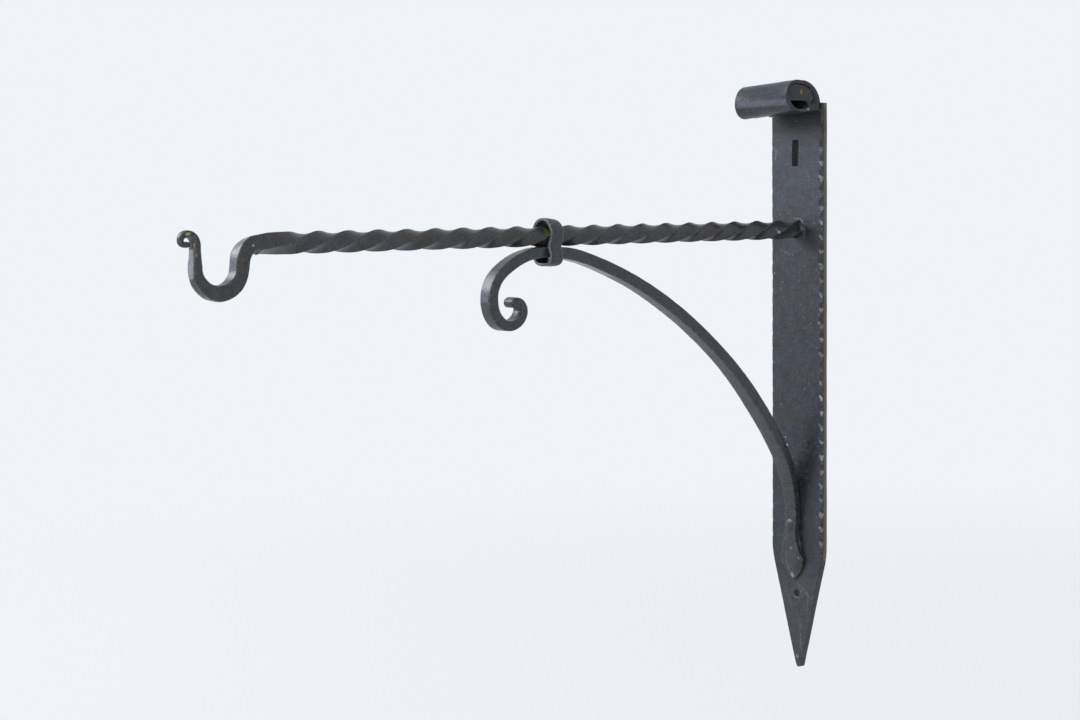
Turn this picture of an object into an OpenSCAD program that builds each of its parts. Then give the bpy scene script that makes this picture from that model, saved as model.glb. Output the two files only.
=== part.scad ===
// Forged wall bracket with a hook, for hanging a sign.
// Millimetres. +Z is up, the wall is the plane Y = 0 and the arm reaches out along -Y.
// The origin lies on the wall, behind the root of the arm.
// Side outlines are drawn as [reach, height], where reach is the distance from the wall.

/* [Wall plate] */
// Width of the flat bar
plate_w = 60; // [50:1:80]
// Thickness of the flat bar
plate_t = 6.8; // [5:0.1:10]
// Height of the shoulder behind the roll, above the arm
shoulder_h = 108; // [95:1:150]
// Depth of the point below the arm
point_depth = 383; // [360:1:460]
// Depth at which the sides turn in towards the point
point_start = 283; // [265:1:300]
// Distance of the tip to the right of the plate's middle
tip_shift = 0.9; // [-3:0.1:3]
// Radius of the tip of the point
tip_r = 2.2; // [2:0.5:6]
// Radius that blends the sides into the point
blend_r = 60; // [20:1:90]
// Distance between two hammer marks along the front edges
mark_pitch = 12.6; // [10:0.1:20]
// Depth of a hammer mark on the right edge, measured at the corner
mark_depth = 1.5; // [0.5:0.1:2.4]
// Depth of a hammer mark on the left edge
mark_depth_left = 0.5; // [0.2:0.1:2.4]
// Radius of the hammer's face
mark_r = 8; // [6:0.5:20]

/* [Nail holes] */
// Width of the upper slot
slot_w = 8; // [5:0.5:12]
// Length of the upper slot
slot_len = 23; // [12:1:30]
// Height of the middle of the slot above the arm
slot_h = 66; // [50:1:75]
// Lean of the slot, in degrees
slot_lean = 2; // [0:0.5:4]
// Diameter of the lower hole
hole_d = 6.5; // [4:0.5:9]
// Distance from the tip of the point up to the lower hole
hole_up = 65.5; // [50:0.5:68]

/* [Roll] */
// Length of the roll along its axis
roll_len = 62; // [50:1:80]
// Distance that the roll sits to the left of the plate's middle
roll_shift = 3.4; // [0:0.1:6]
// Outer radius of the roll's back
roll_back_r = 21; // [19:0.1:24]
// Outer radius of the roll's front
roll_front_r = 14; // [13:0.1:15]
// Thickness of the lowest layer
roll_skin = 2.2; // [1.5:0.1:3]
// Droop of the roll's left end, in degrees
roll_droop = 2.6; // [0:0.1:4]

/* [Arm] */
// Side of the square bar
arm_s = 12; // [10:0.5:14]
// Worn corner of the square bar
arm_corner = 0.4; // [0.2:0.1:1.5]
// Length of the straight, twisted stretch
arm_len = 546; // [460:1:640]
// Length of a quarter turn of the twist
quarter_turn = 26.15; // [20:0.1:40]
// Length over which the last eighth of a turn dies out
untwist_len = 27; // [20:1:40]
// Droop of the arm below level, in degrees
arm_droop = 0.85; // [0:0.05:1.5]
// Diameter of the tenon through the plate
tenon_d = 8; // [6:0.5:9]

/* [Hook] */
// Centreline radius of the hook's seat
hook_r = 18; // [15:0.1:24]
// Centreline radius of the bend down into the hook
neck_r = 13; // [12:0.5:18]
// Length of the straight stretch between that bend and the seat
neck_len = 6.2; // [2:0.5:20]
// Thickness at the bottom of the seat
hook_t = 10.6; // [8:0.1:12]
// Thickness of the outer limb
limb_t = 5.8; // [4:0.1:7]
// Length of the straight outer limb
limb_len = 17.2; // [14:0.2:30]

/* [Brace] */
// Width of the bar
brace_w = 12.6; // [10:0.1:16]
// Thickness of the bar
brace_t = 8.6; // [6:0.1:10]
// Thickness of the bar at its foot
foot_t = 6.4; // [5:0.1:8]
// Distance that the foot stands to the left of the arm
foot_shift = 1.9; // [0:0.1:4]
// Size of the scroll, as a factor
scroll_size = 1; // [0.8:0.05:1.3]
// Diameter of the snub end rolled into the scroll
snub_d = 7.8; // [6:0.1:9]
// Width of the leaf at the foot
leaf_w = 28; // [24:0.5:36]
// Length of the leaf below the bar
leaf_len = 47; // [45:1:60]
// Thickness of the leaf at its tip
leaf_t = 2.4; // [1.5:0.1:4]

/* [Collar] */
// Distance of the collar's middle from the wall
collar_reach = 285; // [240:1:330]
// Length of the collar along the arm
collar_len = 13.2; // [8:0.1:16]
// Thickness of the strip
collar_t = 2.5; // [2:0.1:3.5]
// Room above the arm inside the collar
collar_over = 3.2; // [0.5:0.1:5]
// Room below the brace inside the collar
collar_under = 4.2; // [0.5:0.1:6]

/* [Foot rivet] */
// Diameter of the shank
rivet_d = 6; // [5:0.5:7]
// Diameter of the domed head
rivet_head_d = 10.6; // [9.5:0.1:12]
// Height of the domed head
rivet_head_h = 2.6; // [1.5:0.1:4]

/* [Fits] */
// Clearance between a shank and its hole, on the radius
shank_gap = 0.15; // [0.1:0.05:0.3]
// Clearance between pieces that bear on each other
seat_gap = 0.2; // [0.15:0.05:0.3]

/* [Hidden] */
iron = "#3c4046";
$fn = 64;
// Small overlap that lets a cut pass clean through
over = 1;

// Lean of a hammer mark's face away from the plate's front, and its slant along the edge
mark_lean = 26;
mark_slant = 25;
// Sideways place of the slot's middle
slot_x = -1.7;
// Distance from the shoulder down to the first hammer mark
mark_start = 37;
// How much deeper than the tenon or shank the flush tail of a rivet spreads
tail_h = 2;
tail_spread = 1.8;

// Roll: how far the strip stands behind the plate's front, and its back's centre below the shoulder
strip_behind = 1;
roll_drop = 3;
// Reach of the front circle beyond the back circle, and the radius of the tucked-in turn
roll_stretch = 6;
tuck_r = 4.1;
// Thickness of the roll's front wall and how much smaller the hollow's circle is
front_skin = 3.4;
hollow_inset = 1.8;
// Height from the hollow's flat top up to the front circle's centre
coil_drop = 4.6;
// Front circle's offset upward from the back circle's top
roll_crest = 0.2;

back_c = [plate_t - strip_behind + roll_back_r, shoulder_h - roll_drop];
front_c = [back_c[0] + roll_stretch, back_c[1] + roll_back_r + roll_crest - roll_front_r];
tuck_c = [front_c[0] - roll_front_r + 2.6, front_c[1] - roll_front_r + tuck_r + 0.7];
hollow_r = roll_front_r - hollow_inset;
hollow_c = front_c - [front_skin - hollow_inset, hollow_inset - roll_skin];

// Arm: where the bend begins and where the last corner stands on top
bend_reach = plate_t + arm_len;
last_peak = bend_reach - untwist_len;
bend_twist = 12;
corner_reach = norm([arm_s / 2, arm_s / 2 - arm_corner]);
rings_per_quarter = 6;

// Brace: the crown lies just beyond the collar and bears on the arm
crown_ahead = 6;
crown_reach = collar_reach + crown_ahead;
brace_top = arm_axis(crown_reach) - corner_reach - seat_gap;
crown = [crown_reach, brace_top - brace_t / 2];
// Turns of the bow from the crown to the foot, and the share of each turn's radius
bow_turns = [16.6, 41.8, 31.6];
bow_radii = [144, 395, 109];
bow_ends = [bow_turns[0], bow_turns[0] + bow_turns[1], 90];
bow_run = bow_radii[0] * sin(bow_ends[0]) + bow_radii[1] * (sin(bow_ends[1]) - sin(bow_ends[0]))
    + bow_radii[2] * (1 - sin(bow_ends[1]));
bow_size = (crown_reach - plate_t - foot_t / 2) / bow_run;
bow = walk([crown, 180, brace_t, brace_w], [
    [bow_radii[0] * bow_size, bow_turns[0], brace_t - 0.3, brace_w],
    [bow_radii[1] * bow_size, bow_turns[1], foot_t, brace_w],
    [bow_radii[2] * bow_size, bow_turns[2], foot_t, brace_w]]);
scroll = walk([crown, 0, brace_t, brace_w], [
    [67 * scroll_size, -41, brace_t, brace_w],
    [26 * scroll_size, -76, brace_t + 0.3, brace_w],
    [17.3 * scroll_size, -28, brace_t + 0.2, brace_w],
    [14.7 * scroll_size, -99, brace_t * 0.72, brace_w],
    [8.6 * scroll_size, -116, 3, brace_w]]);
scroll_end = scroll[len(scroll) - 1];
snub_sink = 0.9;
snub_c = scroll_end[0] - [0, snub_d / 2 - scroll_end[2] / 2 + snub_sink];

// Foot: the bar runs straight down past the rivet, then spreads into the leaf
foot_h = bow[len(bow) - 1][0][1];
rivet_drop = 6;
rivet_h = foot_h - rivet_drop;
// The whole brace leans to the left about its crown; the rivet's place follows
foot_lean = asin(foot_shift / (crown[1] - rivet_h));
rivet_place = [-foot_shift, 0, crown[1] - (crown[1] - rivet_h) * cos(foot_lean)];
flat_len = rivet_drop + rivet_head_d / 2 + 1;
leaf_widest = 0.64;
leaf_total = leaf_len + 7;
leaf_shift = 1.5;

// Collar: the waist grips the brace's top corners, the upper lobe clears the arm
arm_gap = 0.3;
collar_arm_h = arm_axis(collar_reach);
waist_h = brace_top + 0.6;
waist_half = brace_w / 2 + seat_gap;
over_half = corner_reach + 1.6;
under_half = brace_w / 2 + 2.5;
collar_in_top = collar_arm_h + corner_reach + collar_over;
collar_in_low = brace_top - brace_t - collar_under;
over_h = collar_arm_h + 2;
under_h = brace_top - brace_t * 0.85;

// Points of an arc about c, from angle a to angle b
function arc(c, r, a, b, n = 16) =
    [for (i = [0:n]) c + r * [cos(a + (b - a) * i / n), sin(a + (b - a) * i / n)]];

// Height of the arm's axis at a distance from the wall
function arm_axis(reach) = -tan(arm_droop) * (reach - plate_t);

// Turn of the square section; 45 puts a corner on top
function twist(reach) = reach > last_peak
    ? bend_twist + (45 - bend_twist) * (bend_reach - reach) / untwist_len
    : 45 + 90 * (last_peak - reach) / quarter_turn;

function ahead(heading) = [cos(heading), sin(heading)];
function left_of(heading) = [-sin(heading), cos(heading)];

// A path is a list of stations [point, heading, thickness, width].
// A leg is [radius, turn, end thickness, end width]. With no turn, its radius is a length.
function leg_point(p, heading, leg, f) = leg[1] == 0
    ? p + leg[0] * f * ahead(heading)
    : p + sign(leg[1]) * leg[0] * (left_of(heading) - left_of(heading + leg[1] * f));
function leg_steps(leg) = leg[1] == 0
    ? 2
    : ceil(max(abs(leg[1]) / 8, leg[0] * abs(leg[1]) / 520));
function leg_stations(start, leg, n) = [for (i = [1:n])
    [leg_point(start[0], start[1], leg, i / n), start[1] + leg[1] * i / n,
     start[2] + (leg[2] - start[2]) * i / n, start[3] + (leg[3] - start[3]) * i / n]];
function walk(start, legs, k = 0) = k == len(legs)
    ? [start]
    : let (steps = leg_stations(start, legs[k], leg_steps(legs[k])), last = len(steps) - 1)
      concat([start], [for (i = [0:1:last - 1]) steps[i]], walk(steps[last], legs, k + 1));

// Outline of a bar that follows a path, seen from the side
function band(path) = concat(
    [for (s = path) s[0] + left_of(s[1]) * s[2] / 2],
    [for (i = [len(path) - 1:-1:0]) path[i][0] - left_of(path[i][1]) * path[i][2] / 2]);

// Section of a bar with worn corners, and the same section placed in space
function corners(w, t, c) = [
    [w / 2, c - t / 2], [w / 2, t / 2 - c], [w / 2 - c, t / 2], [c - w / 2, t / 2],
    [-w / 2, t / 2 - c], [-w / 2, c - t / 2], [c - w / 2, -t / 2], [w / 2 - c, -t / 2]];
function ring(station, turn) = [for (q = corners(station[3], station[2], arm_corner))
    let (x = q[0] * cos(turn) - q[1] * sin(turn), n = q[0] * sin(turn) + q[1] * cos(turn))
    [x, n * sin(station[1]) - station[0][0], n * cos(station[1]) + station[0][1]]];

// Draws a side outline of [reach, height] points as a bar of the given width
module from_side(width, x = 0) {
    translate([x, 0, 0]) rotate([90, 0, -90]) linear_extrude(height = width, center = true) children();
}

// Draws a front outline of [x, height] points, from one distance off the wall to another
module from_front(near, far) {
    translate([0, -near, 0]) rotate([90, 0, 0]) linear_extrude(height = far - near) children();
}

// A shank that runs out from the wall, with a flush tail at the wall
module shank(d, length, gap = 0) {
    rotate([90, 0, 0]) {
        cylinder(h = length, r = d / 2 + gap);
        cylinder(h = tail_h, r1 = d / 2 + tail_spread + gap, r2 = d / 2 + gap);
    }
}

// One side of the plate, mirrored onto the right, from the shoulder down to the tip
function plate_side(side) = let (
    tip_c = [side * tip_shift, tip_r - point_depth],
    gap = tip_c - [plate_w / 2, -point_start],
    lean = atan(-gap[0] / -gap[1]) - asin(tip_r / norm(gap)),
    blend_c = [plate_w / 2 - blend_r, -point_start + blend_r * tan(lean / 2)])
    concat([[plate_w / 2, shoulder_h]], arc(blend_c, blend_r, 0, -lean, 6), arc(tip_c, tip_r, -lean, -90, 8));

module plate_outline() {
    right = plate_side(1);
    left = plate_side(-1);
    polygon(concat(right, [for (i = [len(left) - 2:-1:0]) [-left[i][0], left[i][1]]]));
}

// Scallops left by the hammer along both front edges
module hammer_marks() {
    lowest = mark_pitch / 2 - point_start;
    for (side = [-1, 1], h = [shoulder_h - mark_start:-mark_pitch:lowest]) {
        out = [side * sin(mark_lean), -cos(mark_lean), 0];
        depth = side > 0 ? mark_depth : mark_depth_left;
        translate([side * plate_w / 2, -plate_t, h] + out * (mark_r - depth))
            rotate([0, 0, side * mark_lean]) rotate([0, 90 + mark_slant, 0])
                cylinder(h = 2 * mark_r, r = mark_r, center = true);
    }
}

// The strip over the shoulder, its roll and the coil pressed inside it
module roll_outline() {
    difference() {
        polygon(concat(
            arc(back_c, roll_back_r, 180, 97),
            arc(front_c, roll_front_r, 97, -110, 32),
            arc(tuck_c, tuck_r, -100, -180, 8),
            [[tuck_c[0] - tuck_r + 0.6, tuck_c[1] + 4], [plate_t + 5.5, shoulder_h + 2],
             [plate_t + 3.6, shoulder_h - 2], [plate_t - 0.6, shoulder_h - 8.2], [plate_t - 3, shoulder_h - 8.2],
             [plate_t - 3, back_c[1]]]));
        polygon(concat(
            arc(hollow_c, hollow_r, -asin((coil_drop + hollow_c[1] - front_c[1]) / hollow_r), -105),
            arc(tuck_c + [0.5, 0.2], tuck_r - roll_skin, -100, -190, 8),
            [[tuck_c[0] + 0.6, front_c[1] - coil_drop]]));
    }
}

module wall_plate() {
    color(iron) difference() {
        union() {
            from_front(0, plate_t) plate_outline();
            translate([0, 0, shoulder_h]) rotate([0, -roll_droop, 0]) translate([0, 0, -shoulder_h])
                from_side(roll_len, -roll_shift) roll_outline();
        }
        hammer_marks();
        translate([slot_x, -plate_t / 2, slot_h]) rotate([0, slot_lean, 0])
            cube([slot_w, plate_t + 2 * over, slot_len], center = true);
        translate([0, over, hole_up - point_depth]) rotate([90, 0, 0])
            cylinder(h = plate_t + 2 * over, d = hole_d);
        shank(tenon_d, plate_t + over, shank_gap);
        translate(rivet_place) shank(rivet_d, plate_t + over, shank_gap);
    }
}

module arm() {
    steps = ceil(arm_len / quarter_turn * rings_per_quarter);
    straight = [for (i = [0:steps]) let (reach = plate_t + arm_len * i / steps)
        ring([[reach, arm_axis(reach)], 0, arm_s, arm_s], twist(reach))];
    bend = walk([[bend_reach, arm_axis(bend_reach)], 0, arm_s, arm_s], [
        [neck_r, -42, 10, 11],
        [neck_r + 1, -42, 9.6, 10.6],
        [neck_len, 0, 9.6, 10.4],
        [hook_r, 84, hook_t, 10],
        [hook_r - 0.4, 90, limb_t + 0.4, 8.3],
        [limb_len, 0, limb_t - 0.8, 6.9],
        [6.9, -90, 4.8, 6],
        [4.8, -90, 3.8, 4.6],
        [3, -90, 3, 4.2],
        [4.6, 0, 2.4, 4]]);
    rings = concat(straight, [for (i = [1:len(bend) - 1]) ring(bend[i], max(0, bend_twist * (1 - i / 8)))]);
    last = len(rings) - 1;
    sides = [for (i = [0:last - 1], j = [0:7]) let (a = 8 * i + j, b = 8 * i + (j + 1) % 8)
        each [[a, a + 8, b + 8], [a, b + 8, b]]];
    ends = [[for (j = [0:7]) j], [for (j = [7:-1:0]) 8 * last + j]];
    color(iron) union() {
        polyhedron(points = [for (r = rings) each r], faces = concat(ends, sides));
        shank(tenon_d, plate_t + tail_h);
    }
}

// Outline of the leaf seen from the front: f runs from 0 at the bar to 1 at the tip
function leaf_half(f) = f < leaf_widest
    ? brace_w / 2 + (leaf_w - brace_w) / 2 * pow(f / leaf_widest, 2.5)
    : leaf_w / 2 * cos(90 * (f - leaf_widest) / (1 - leaf_widest));
function leaf_edge(f, side) = [side * leaf_half(f) - leaf_shift * sin(180 * f), foot_h - leaf_total * f];

module leaf() {
    n = 24;
    thin_len = leaf_total - flat_len;
    intersection() {
        from_front(plate_t, plate_t + foot_t) polygon(concat(
            [[-brace_w / 2, foot_h + over], [brace_w / 2, foot_h + over]],
            [for (i = [0:n]) leaf_edge(i / n, 1)], [for (i = [n - 1:-1:0]) leaf_edge(i / n, -1)]));
        from_side(2 * leaf_w) polygon(concat(
            [[plate_t, foot_h - leaf_total], [plate_t, foot_h + over], [plate_t + foot_t, foot_h + over]],
            [for (i = [0:12]) [plate_t + leaf_t + (foot_t - leaf_t) * (1 + cos(15 * i)) / 2,
                foot_h - flat_len - thin_len * i / 12]]));
    }
}

module brace() {
    color(iron) translate([0, 0, crown[1]]) rotate([0, foot_lean, 0]) translate([0, 0, -crown[1]]) difference() {
        union() {
            from_side(brace_w) polygon(band(bow));
            from_side(brace_w) polygon(band(scroll));
            from_side(brace_w) translate(snub_c) circle(d = snub_d);
            leaf();
        }
        translate([0, -plate_t + over, rivet_h]) rotate([90, 0, 0])
            cylinder(h = foot_t + 2 * over, r = rivet_d / 2 + shank_gap);
    }
}

// Half width of the space inside the collar, between its two lobes. The upper one clears the arm's corners.
function arm_room(h) = sqrt(max(0, pow(corner_reach + arm_gap, 2) - pow(h - collar_arm_h, 2)));
function lobe_half(h) = h > waist_h
    ? max(arm_room(h),
        waist_half + (over_half - waist_half) * (1 - cos(180 * (h - waist_h) / (over_h - waist_h))) / 2)
    : waist_half + (under_half - waist_half) * (1 - cos(180 * (waist_h - h) / (waist_h - under_h))) / 2;

// Right half of the collar's inner outline, from the top down
function collar_half() = concat(
    [for (a = [90:-9:9]) [over_half * cos(a), over_h + (collar_in_top - over_h) * sin(a)]],
    [for (i = [0:16]) let (h = over_h + (under_h - over_h) * i / 16) [lobe_half(h), h]],
    [for (a = [9:9:90]) [under_half * pow(cos(a), 0.7), under_h + (collar_in_low - under_h) * pow(sin(a), 0.8)]]);
function mirrored(right) = concat(right, [for (i = [len(right) - 2:-1:1]) [-right[i][0], right[i][1]]]);

// The same outline moved outward by d
function grown(path, d) = let (n = len(path)) [for (i = [0:n - 1])
    let (v = path[(i + 1) % n] - path[(i + n - 1) % n]) path[i] + d * [-v[1], v[0]] / norm(v)];

module collar() {
    inside = mirrored(collar_half());
    color(iron) from_front(collar_reach - collar_len / 2, collar_reach + collar_len / 2) difference() {
        polygon(grown(inside, collar_t));
        polygon(inside);
    }
}

module foot_rivet() {
    head_r = rivet_head_d / 2;
    dome_r = (head_r * head_r + rivet_head_h * rivet_head_h) / (2 * rivet_head_h);
    rim = acos(head_r / dome_r);
    color(iron) translate(rivet_place) union() {
        shank(rivet_d, plate_t + foot_t + over);
        translate([0, -plate_t - foot_t, 0]) rotate([90, 0, 0]) rotate_extrude()
            polygon(concat([[0, 0]], arc([0, rivet_head_h - dome_r], dome_r, rim, 90, 10)));
    }
}

wall_plate();
arm();
brace();
collar();
foot_rivet();
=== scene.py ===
"""Visual model of a hand-forged wall bracket that ends in a hook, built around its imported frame.

The row frame is used throughout: +Z is up, the wall is the plane Y = 0 and the arm runs out along -Y.
Shapes are worked out in millimetres and scaled to metres when a mesh is made. Side outlines are drawn as
[reach, height], where reach is the distance from the wall.
"""

import logging
import math
from dataclasses import dataclass, field
from enum import Enum
from functools import reduce
from typing import Any, Callable, Sequence

import bmesh
import bpy
import numpy as np
from mathutils import Matrix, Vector
from mathutils.kdtree import KDTree


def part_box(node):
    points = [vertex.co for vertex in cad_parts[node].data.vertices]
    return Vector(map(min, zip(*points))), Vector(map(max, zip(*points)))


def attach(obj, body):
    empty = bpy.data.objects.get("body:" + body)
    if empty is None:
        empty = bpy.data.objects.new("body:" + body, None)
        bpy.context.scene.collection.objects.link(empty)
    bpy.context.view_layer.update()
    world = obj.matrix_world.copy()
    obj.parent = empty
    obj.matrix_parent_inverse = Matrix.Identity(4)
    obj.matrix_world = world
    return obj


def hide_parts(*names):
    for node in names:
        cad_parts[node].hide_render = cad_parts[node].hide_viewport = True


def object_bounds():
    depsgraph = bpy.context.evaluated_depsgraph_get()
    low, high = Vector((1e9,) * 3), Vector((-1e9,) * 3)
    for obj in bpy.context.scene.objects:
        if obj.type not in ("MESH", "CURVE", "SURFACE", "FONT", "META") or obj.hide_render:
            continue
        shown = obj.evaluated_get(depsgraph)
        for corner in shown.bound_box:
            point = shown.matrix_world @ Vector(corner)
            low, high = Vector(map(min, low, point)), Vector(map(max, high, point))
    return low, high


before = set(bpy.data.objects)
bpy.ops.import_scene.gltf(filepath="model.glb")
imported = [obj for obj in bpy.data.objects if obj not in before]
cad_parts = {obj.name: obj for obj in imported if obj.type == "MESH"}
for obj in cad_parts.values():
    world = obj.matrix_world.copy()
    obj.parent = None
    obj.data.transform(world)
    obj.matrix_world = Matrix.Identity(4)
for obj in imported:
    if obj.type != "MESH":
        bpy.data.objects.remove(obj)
CAD_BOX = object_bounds()

LOG = logging.getLogger("bracket")
MM = 0.001
BODY = "root"
PLATE_THICKNESS = 6.8
FOOT_THICKNESS = 6.4

Pair = tuple[float, float]
Point = tuple[float, float]
Spot = tuple[float, float, float]
Colour = tuple[float, float, float]
Keep = Callable[[np.ndarray], np.ndarray]


def cad_box(node: str) -> tuple[np.ndarray, np.ndarray]:
    """Gives the lowest and highest corners of a frame node, in millimetres."""
    low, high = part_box(node)
    return np.array(low) / MM, np.array(high) / MM


def node_middle(node: str) -> Point:
    """Gives the middle of a frame node across and up, in millimetres."""
    low, high = cad_box(node)
    return (low[0] + high[0]) / 2, (low[2] + high[2]) / 2


# --------------------------------------------------------------------------------------------------
# Shapes
# --------------------------------------------------------------------------------------------------


def ramp(distance: np.ndarray, span: float) -> np.ndarray:
    """Rises from 0 where the distance is 0 to 1 where it is the span."""
    return np.clip(distance / span, 0, 1)


def round_angles(count: int) -> np.ndarray:
    """Gives evenly spaced angles round a full turn, in radians."""
    return np.linspace(0, 2 * math.pi, count + 1)[:-1]


def in_scene(name: str, data: bpy.types.ID) -> bpy.types.Object:
    """Makes an object and links it to the scene.

    Args:
        name: Name of the object.
        data: Its mesh, lamp or camera.

    Returns:
        The object.
    """
    made = bpy.data.objects.new(name, data)
    bpy.context.scene.collection.objects.link(made)
    return made


class Joining(Enum):
    """How one solid is combined with another."""

    ADD = "UNION"
    CUT = "DIFFERENCE"


@dataclass(frozen=True)
class Leg:
    """One stretch of a bar's centreline. With no turn, its radius is a length."""

    radius: float
    turn: float
    thick: float
    wide: float


class Centreline:
    """Stations along a bar in the plane of the side view, no further apart than its pitch."""

    def __init__(self, start: Point, heading: float, thick: float, wide: float, pitch: float = 0.8) -> None:
        """Starts a bar at a reach and height, where a heading of 0 degrees leaves the wall and 90 rises."""
        self.pitch = pitch
        self.rows = [(start[0], start[1], math.radians(heading), thick, wide)]

    def run(self, legs: Sequence[Leg]) -> "Centreline":
        """Adds legs one after another.

        Args:
            legs: The stretches to add.

        Returns:
            The same centreline.
        """
        largest_turn = math.radians(6)
        for leg in legs:
            reach, height, heading, thick, wide = self.rows[-1]
            turn = math.radians(leg.turn)
            length = leg.radius * abs(turn) if leg.turn else leg.radius
            count = max(2, math.ceil(length / self.pitch), math.ceil(abs(turn) / largest_turn))
            for step in range(1, count + 1):
                share = step / count
                if leg.turn:
                    side = math.copysign(leg.radius, leg.turn)
                    now = heading + turn * share
                    place = (reach + side * (math.sin(now) - math.sin(heading)),
                             height - side * (math.cos(now) - math.cos(heading)))
                else:
                    now = heading
                    place = (reach + length * share * math.cos(heading),
                             height + length * share * math.sin(heading))
                self.rows.append((*place, now, thick + (leg.thick - thick) * share,
                                  wide + (leg.wide - wide) * share))
        return self

    def stations(self) -> np.ndarray:
        """Gives one row a station: reach, height, heading in radians, thickness and width."""
        return np.array(self.rows)


def softened(values: np.ndarray, span: int) -> np.ndarray:
    """Smooths a row of values with a running mean that keeps its ends.

    Args:
        values: The values along a bar.
        span: How many neighbours count on each side.

    Returns:
        The smoothed values.
    """
    padded = np.concatenate([np.full(span, values[0]), values, np.full(span, values[-1])])
    kernel = np.hanning(2 * span + 3)[1:-1]
    smooth = np.convolve(padded, kernel / kernel.sum(), mode="valid")
    smooth[0], smooth[-1] = values[0], values[-1]
    return smooth


def bar_sections(wide: np.ndarray, thick: np.ndarray, corner: np.ndarray | float,
                 crowns: Sequence[float] = (0, 0, 0, 0), sides: int = 7, rounds: int = 4) -> np.ndarray:
    """Draws the sections of a bar with rounded corners, one a station.

    Args:
        wide: Widths.
        thick: Thicknesses.
        corner: Radius of the corners.
        crowns: How far the top, left, bottom and right faces stand out in the middle.
        sides: Steps along each flat face.
        rounds: Steps round each corner.

    Returns:
        An array of stations, points and the two coordinates across and along the thickness.
    """
    roundest = 0.49
    corner = np.minimum(np.broadcast_to(corner, wide.shape), roundest * np.minimum(wide, thick))
    signs = [(1, 1), (-1, 1), (-1, -1), (1, -1)]
    arcs = []
    for number, (across, along) in enumerate(signs):
        angles = np.radians(90 * number + 90 * np.arange(rounds + 1) / rounds)
        middle = np.stack([across * (wide / 2 - corner), along * (thick / 2 - corner)], axis=-1)
        ring = np.stack([np.cos(angles), np.sin(angles)], axis=-1)
        arcs.append(middle[:, None, :] + corner[:, None, None] * ring[None])
    parts = []
    for number, rounded in enumerate(arcs):
        facing = math.radians(90 * (number + 1))
        outward = np.array([math.cos(facing), math.sin(facing)])
        share = (np.arange(1, sides) / sides)[None, :, None]
        flat = rounded[:, -1:, :] * (1 - share) + arcs[(number + 1) % 4][:, :1, :] * share
        parts += [rounded, flat + crowns[number] * 4 * share * (1 - share) * outward]
    return np.concatenate(parts, axis=1)


def placed(stations: np.ndarray, sections: np.ndarray, turn: np.ndarray | float = 0.0) -> np.ndarray:
    """Sets sections square to a centreline.

    Args:
        stations: Rows of a Centreline.
        sections: One section a station.
        turn: Turn of each section about the centreline, in radians.

    Returns:
        Rings of points in space.
    """
    turn = np.broadcast_to(turn, stations.shape[:1])[:, None]
    reach, height, heading = (stations[:, k][:, None] for k in range(3))
    across = sections[..., 0] * np.cos(turn) - sections[..., 1] * np.sin(turn)
    along = sections[..., 0] * np.sin(turn) + sections[..., 1] * np.cos(turn)
    return np.stack([across, along * np.sin(heading) - reach, along * np.cos(heading) + height], axis=-1)


def lathed(place: Point, rows: Sequence[tuple[float, Any]], angles: np.ndarray) -> np.ndarray:
    """Draws rings round an axis that runs out from the wall, from rows of a reach and a radius or radii."""
    return np.array([np.stack([place[0] + radius * np.cos(angles), np.full(len(angles), -reach),
                               place[1] + radius * np.sin(angles)], axis=-1) for reach, radius in rows])


def swept(name: str, rings: np.ndarray, endless: bool = False) -> bpy.types.Object:
    """Makes a closed solid of the surface through rings of points.

    Args:
        name: Name of the object.
        rings: Array of rings, points and coordinates, in millimetres.
        endless: Joins the last ring to the first instead of closing the two ends with flat faces.

    Returns:
        The solid, with its faces outward.
    """
    rows, size = rings.shape[:2]
    index = np.arange(rows * size).reshape(rows, size)
    ends = [] if endless else [index[0][::-1].tolist(), index[-1].tolist()]
    if endless:
        index = np.concatenate([index, index[:1]])
    after = np.roll(index, -1, axis=1)
    quads = np.stack([index[:-1], after[:-1], after[1:], index[1:]], axis=-1).reshape(-1, 4)
    mesh = bpy.data.meshes.new(name)
    mesh.from_pydata((rings.reshape(-1, 3) * MM).tolist(), [], quads.tolist() + ends)
    work = bmesh.new()
    work.from_mesh(mesh)
    bmesh.ops.recalc_face_normals(work, faces=work.faces)
    work.to_mesh(mesh)
    work.free()
    return in_scene(name, mesh)


def combine(base: bpy.types.Object, other: bpy.types.Object, joining: Joining) -> None:
    """Adds a solid to another or cuts it out, and removes it.

    Args:
        base: The solid that stays.
        other: The solid that is used up.
        joining: Whether it is added or cut.
    """
    step = base.modifiers.new("combine", "BOOLEAN")
    step.operation, step.solver, step.object = joining.value, "EXACT", other
    shown = bpy.context.evaluated_depsgraph_get()
    before, after = base.data, bpy.data.meshes.new_from_object(base.evaluated_get(shown))
    base.modifiers.clear()
    base.data = after
    bpy.data.meshes.remove(before)
    bpy.data.meshes.remove(other.data)


class ForgeNoise:
    """Smooth seeded noise through space, for what the hammer leaves uneven."""

    LATTICE = 32

    def __init__(self, seed: int, cell: float) -> None:
        """Makes the lattice from a seed, with cells of a size in millimetres."""
        self.cell = cell
        self.values = np.random.default_rng(seed).uniform(-1, 1, (self.LATTICE,) * 3)

    def at(self, points: np.ndarray) -> np.ndarray:
        """Reads the noise.

        Args:
            points: Points in millimetres.

        Returns:
            A value between -1 and 1 for each point.
        """
        cells = points / self.cell
        base = np.floor(cells).astype(int)
        part = cells - base
        part = part * part * (3 - 2 * part)
        total = np.zeros(len(points))
        for corner in np.ndindex(2, 2, 2):
            weight = np.prod(np.where(np.array(corner), part, 1 - part), axis=1)
            x, y, z = ((base + corner) % self.LATTICE).T
            total += weight * self.values[x, y, z]
        return total


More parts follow.
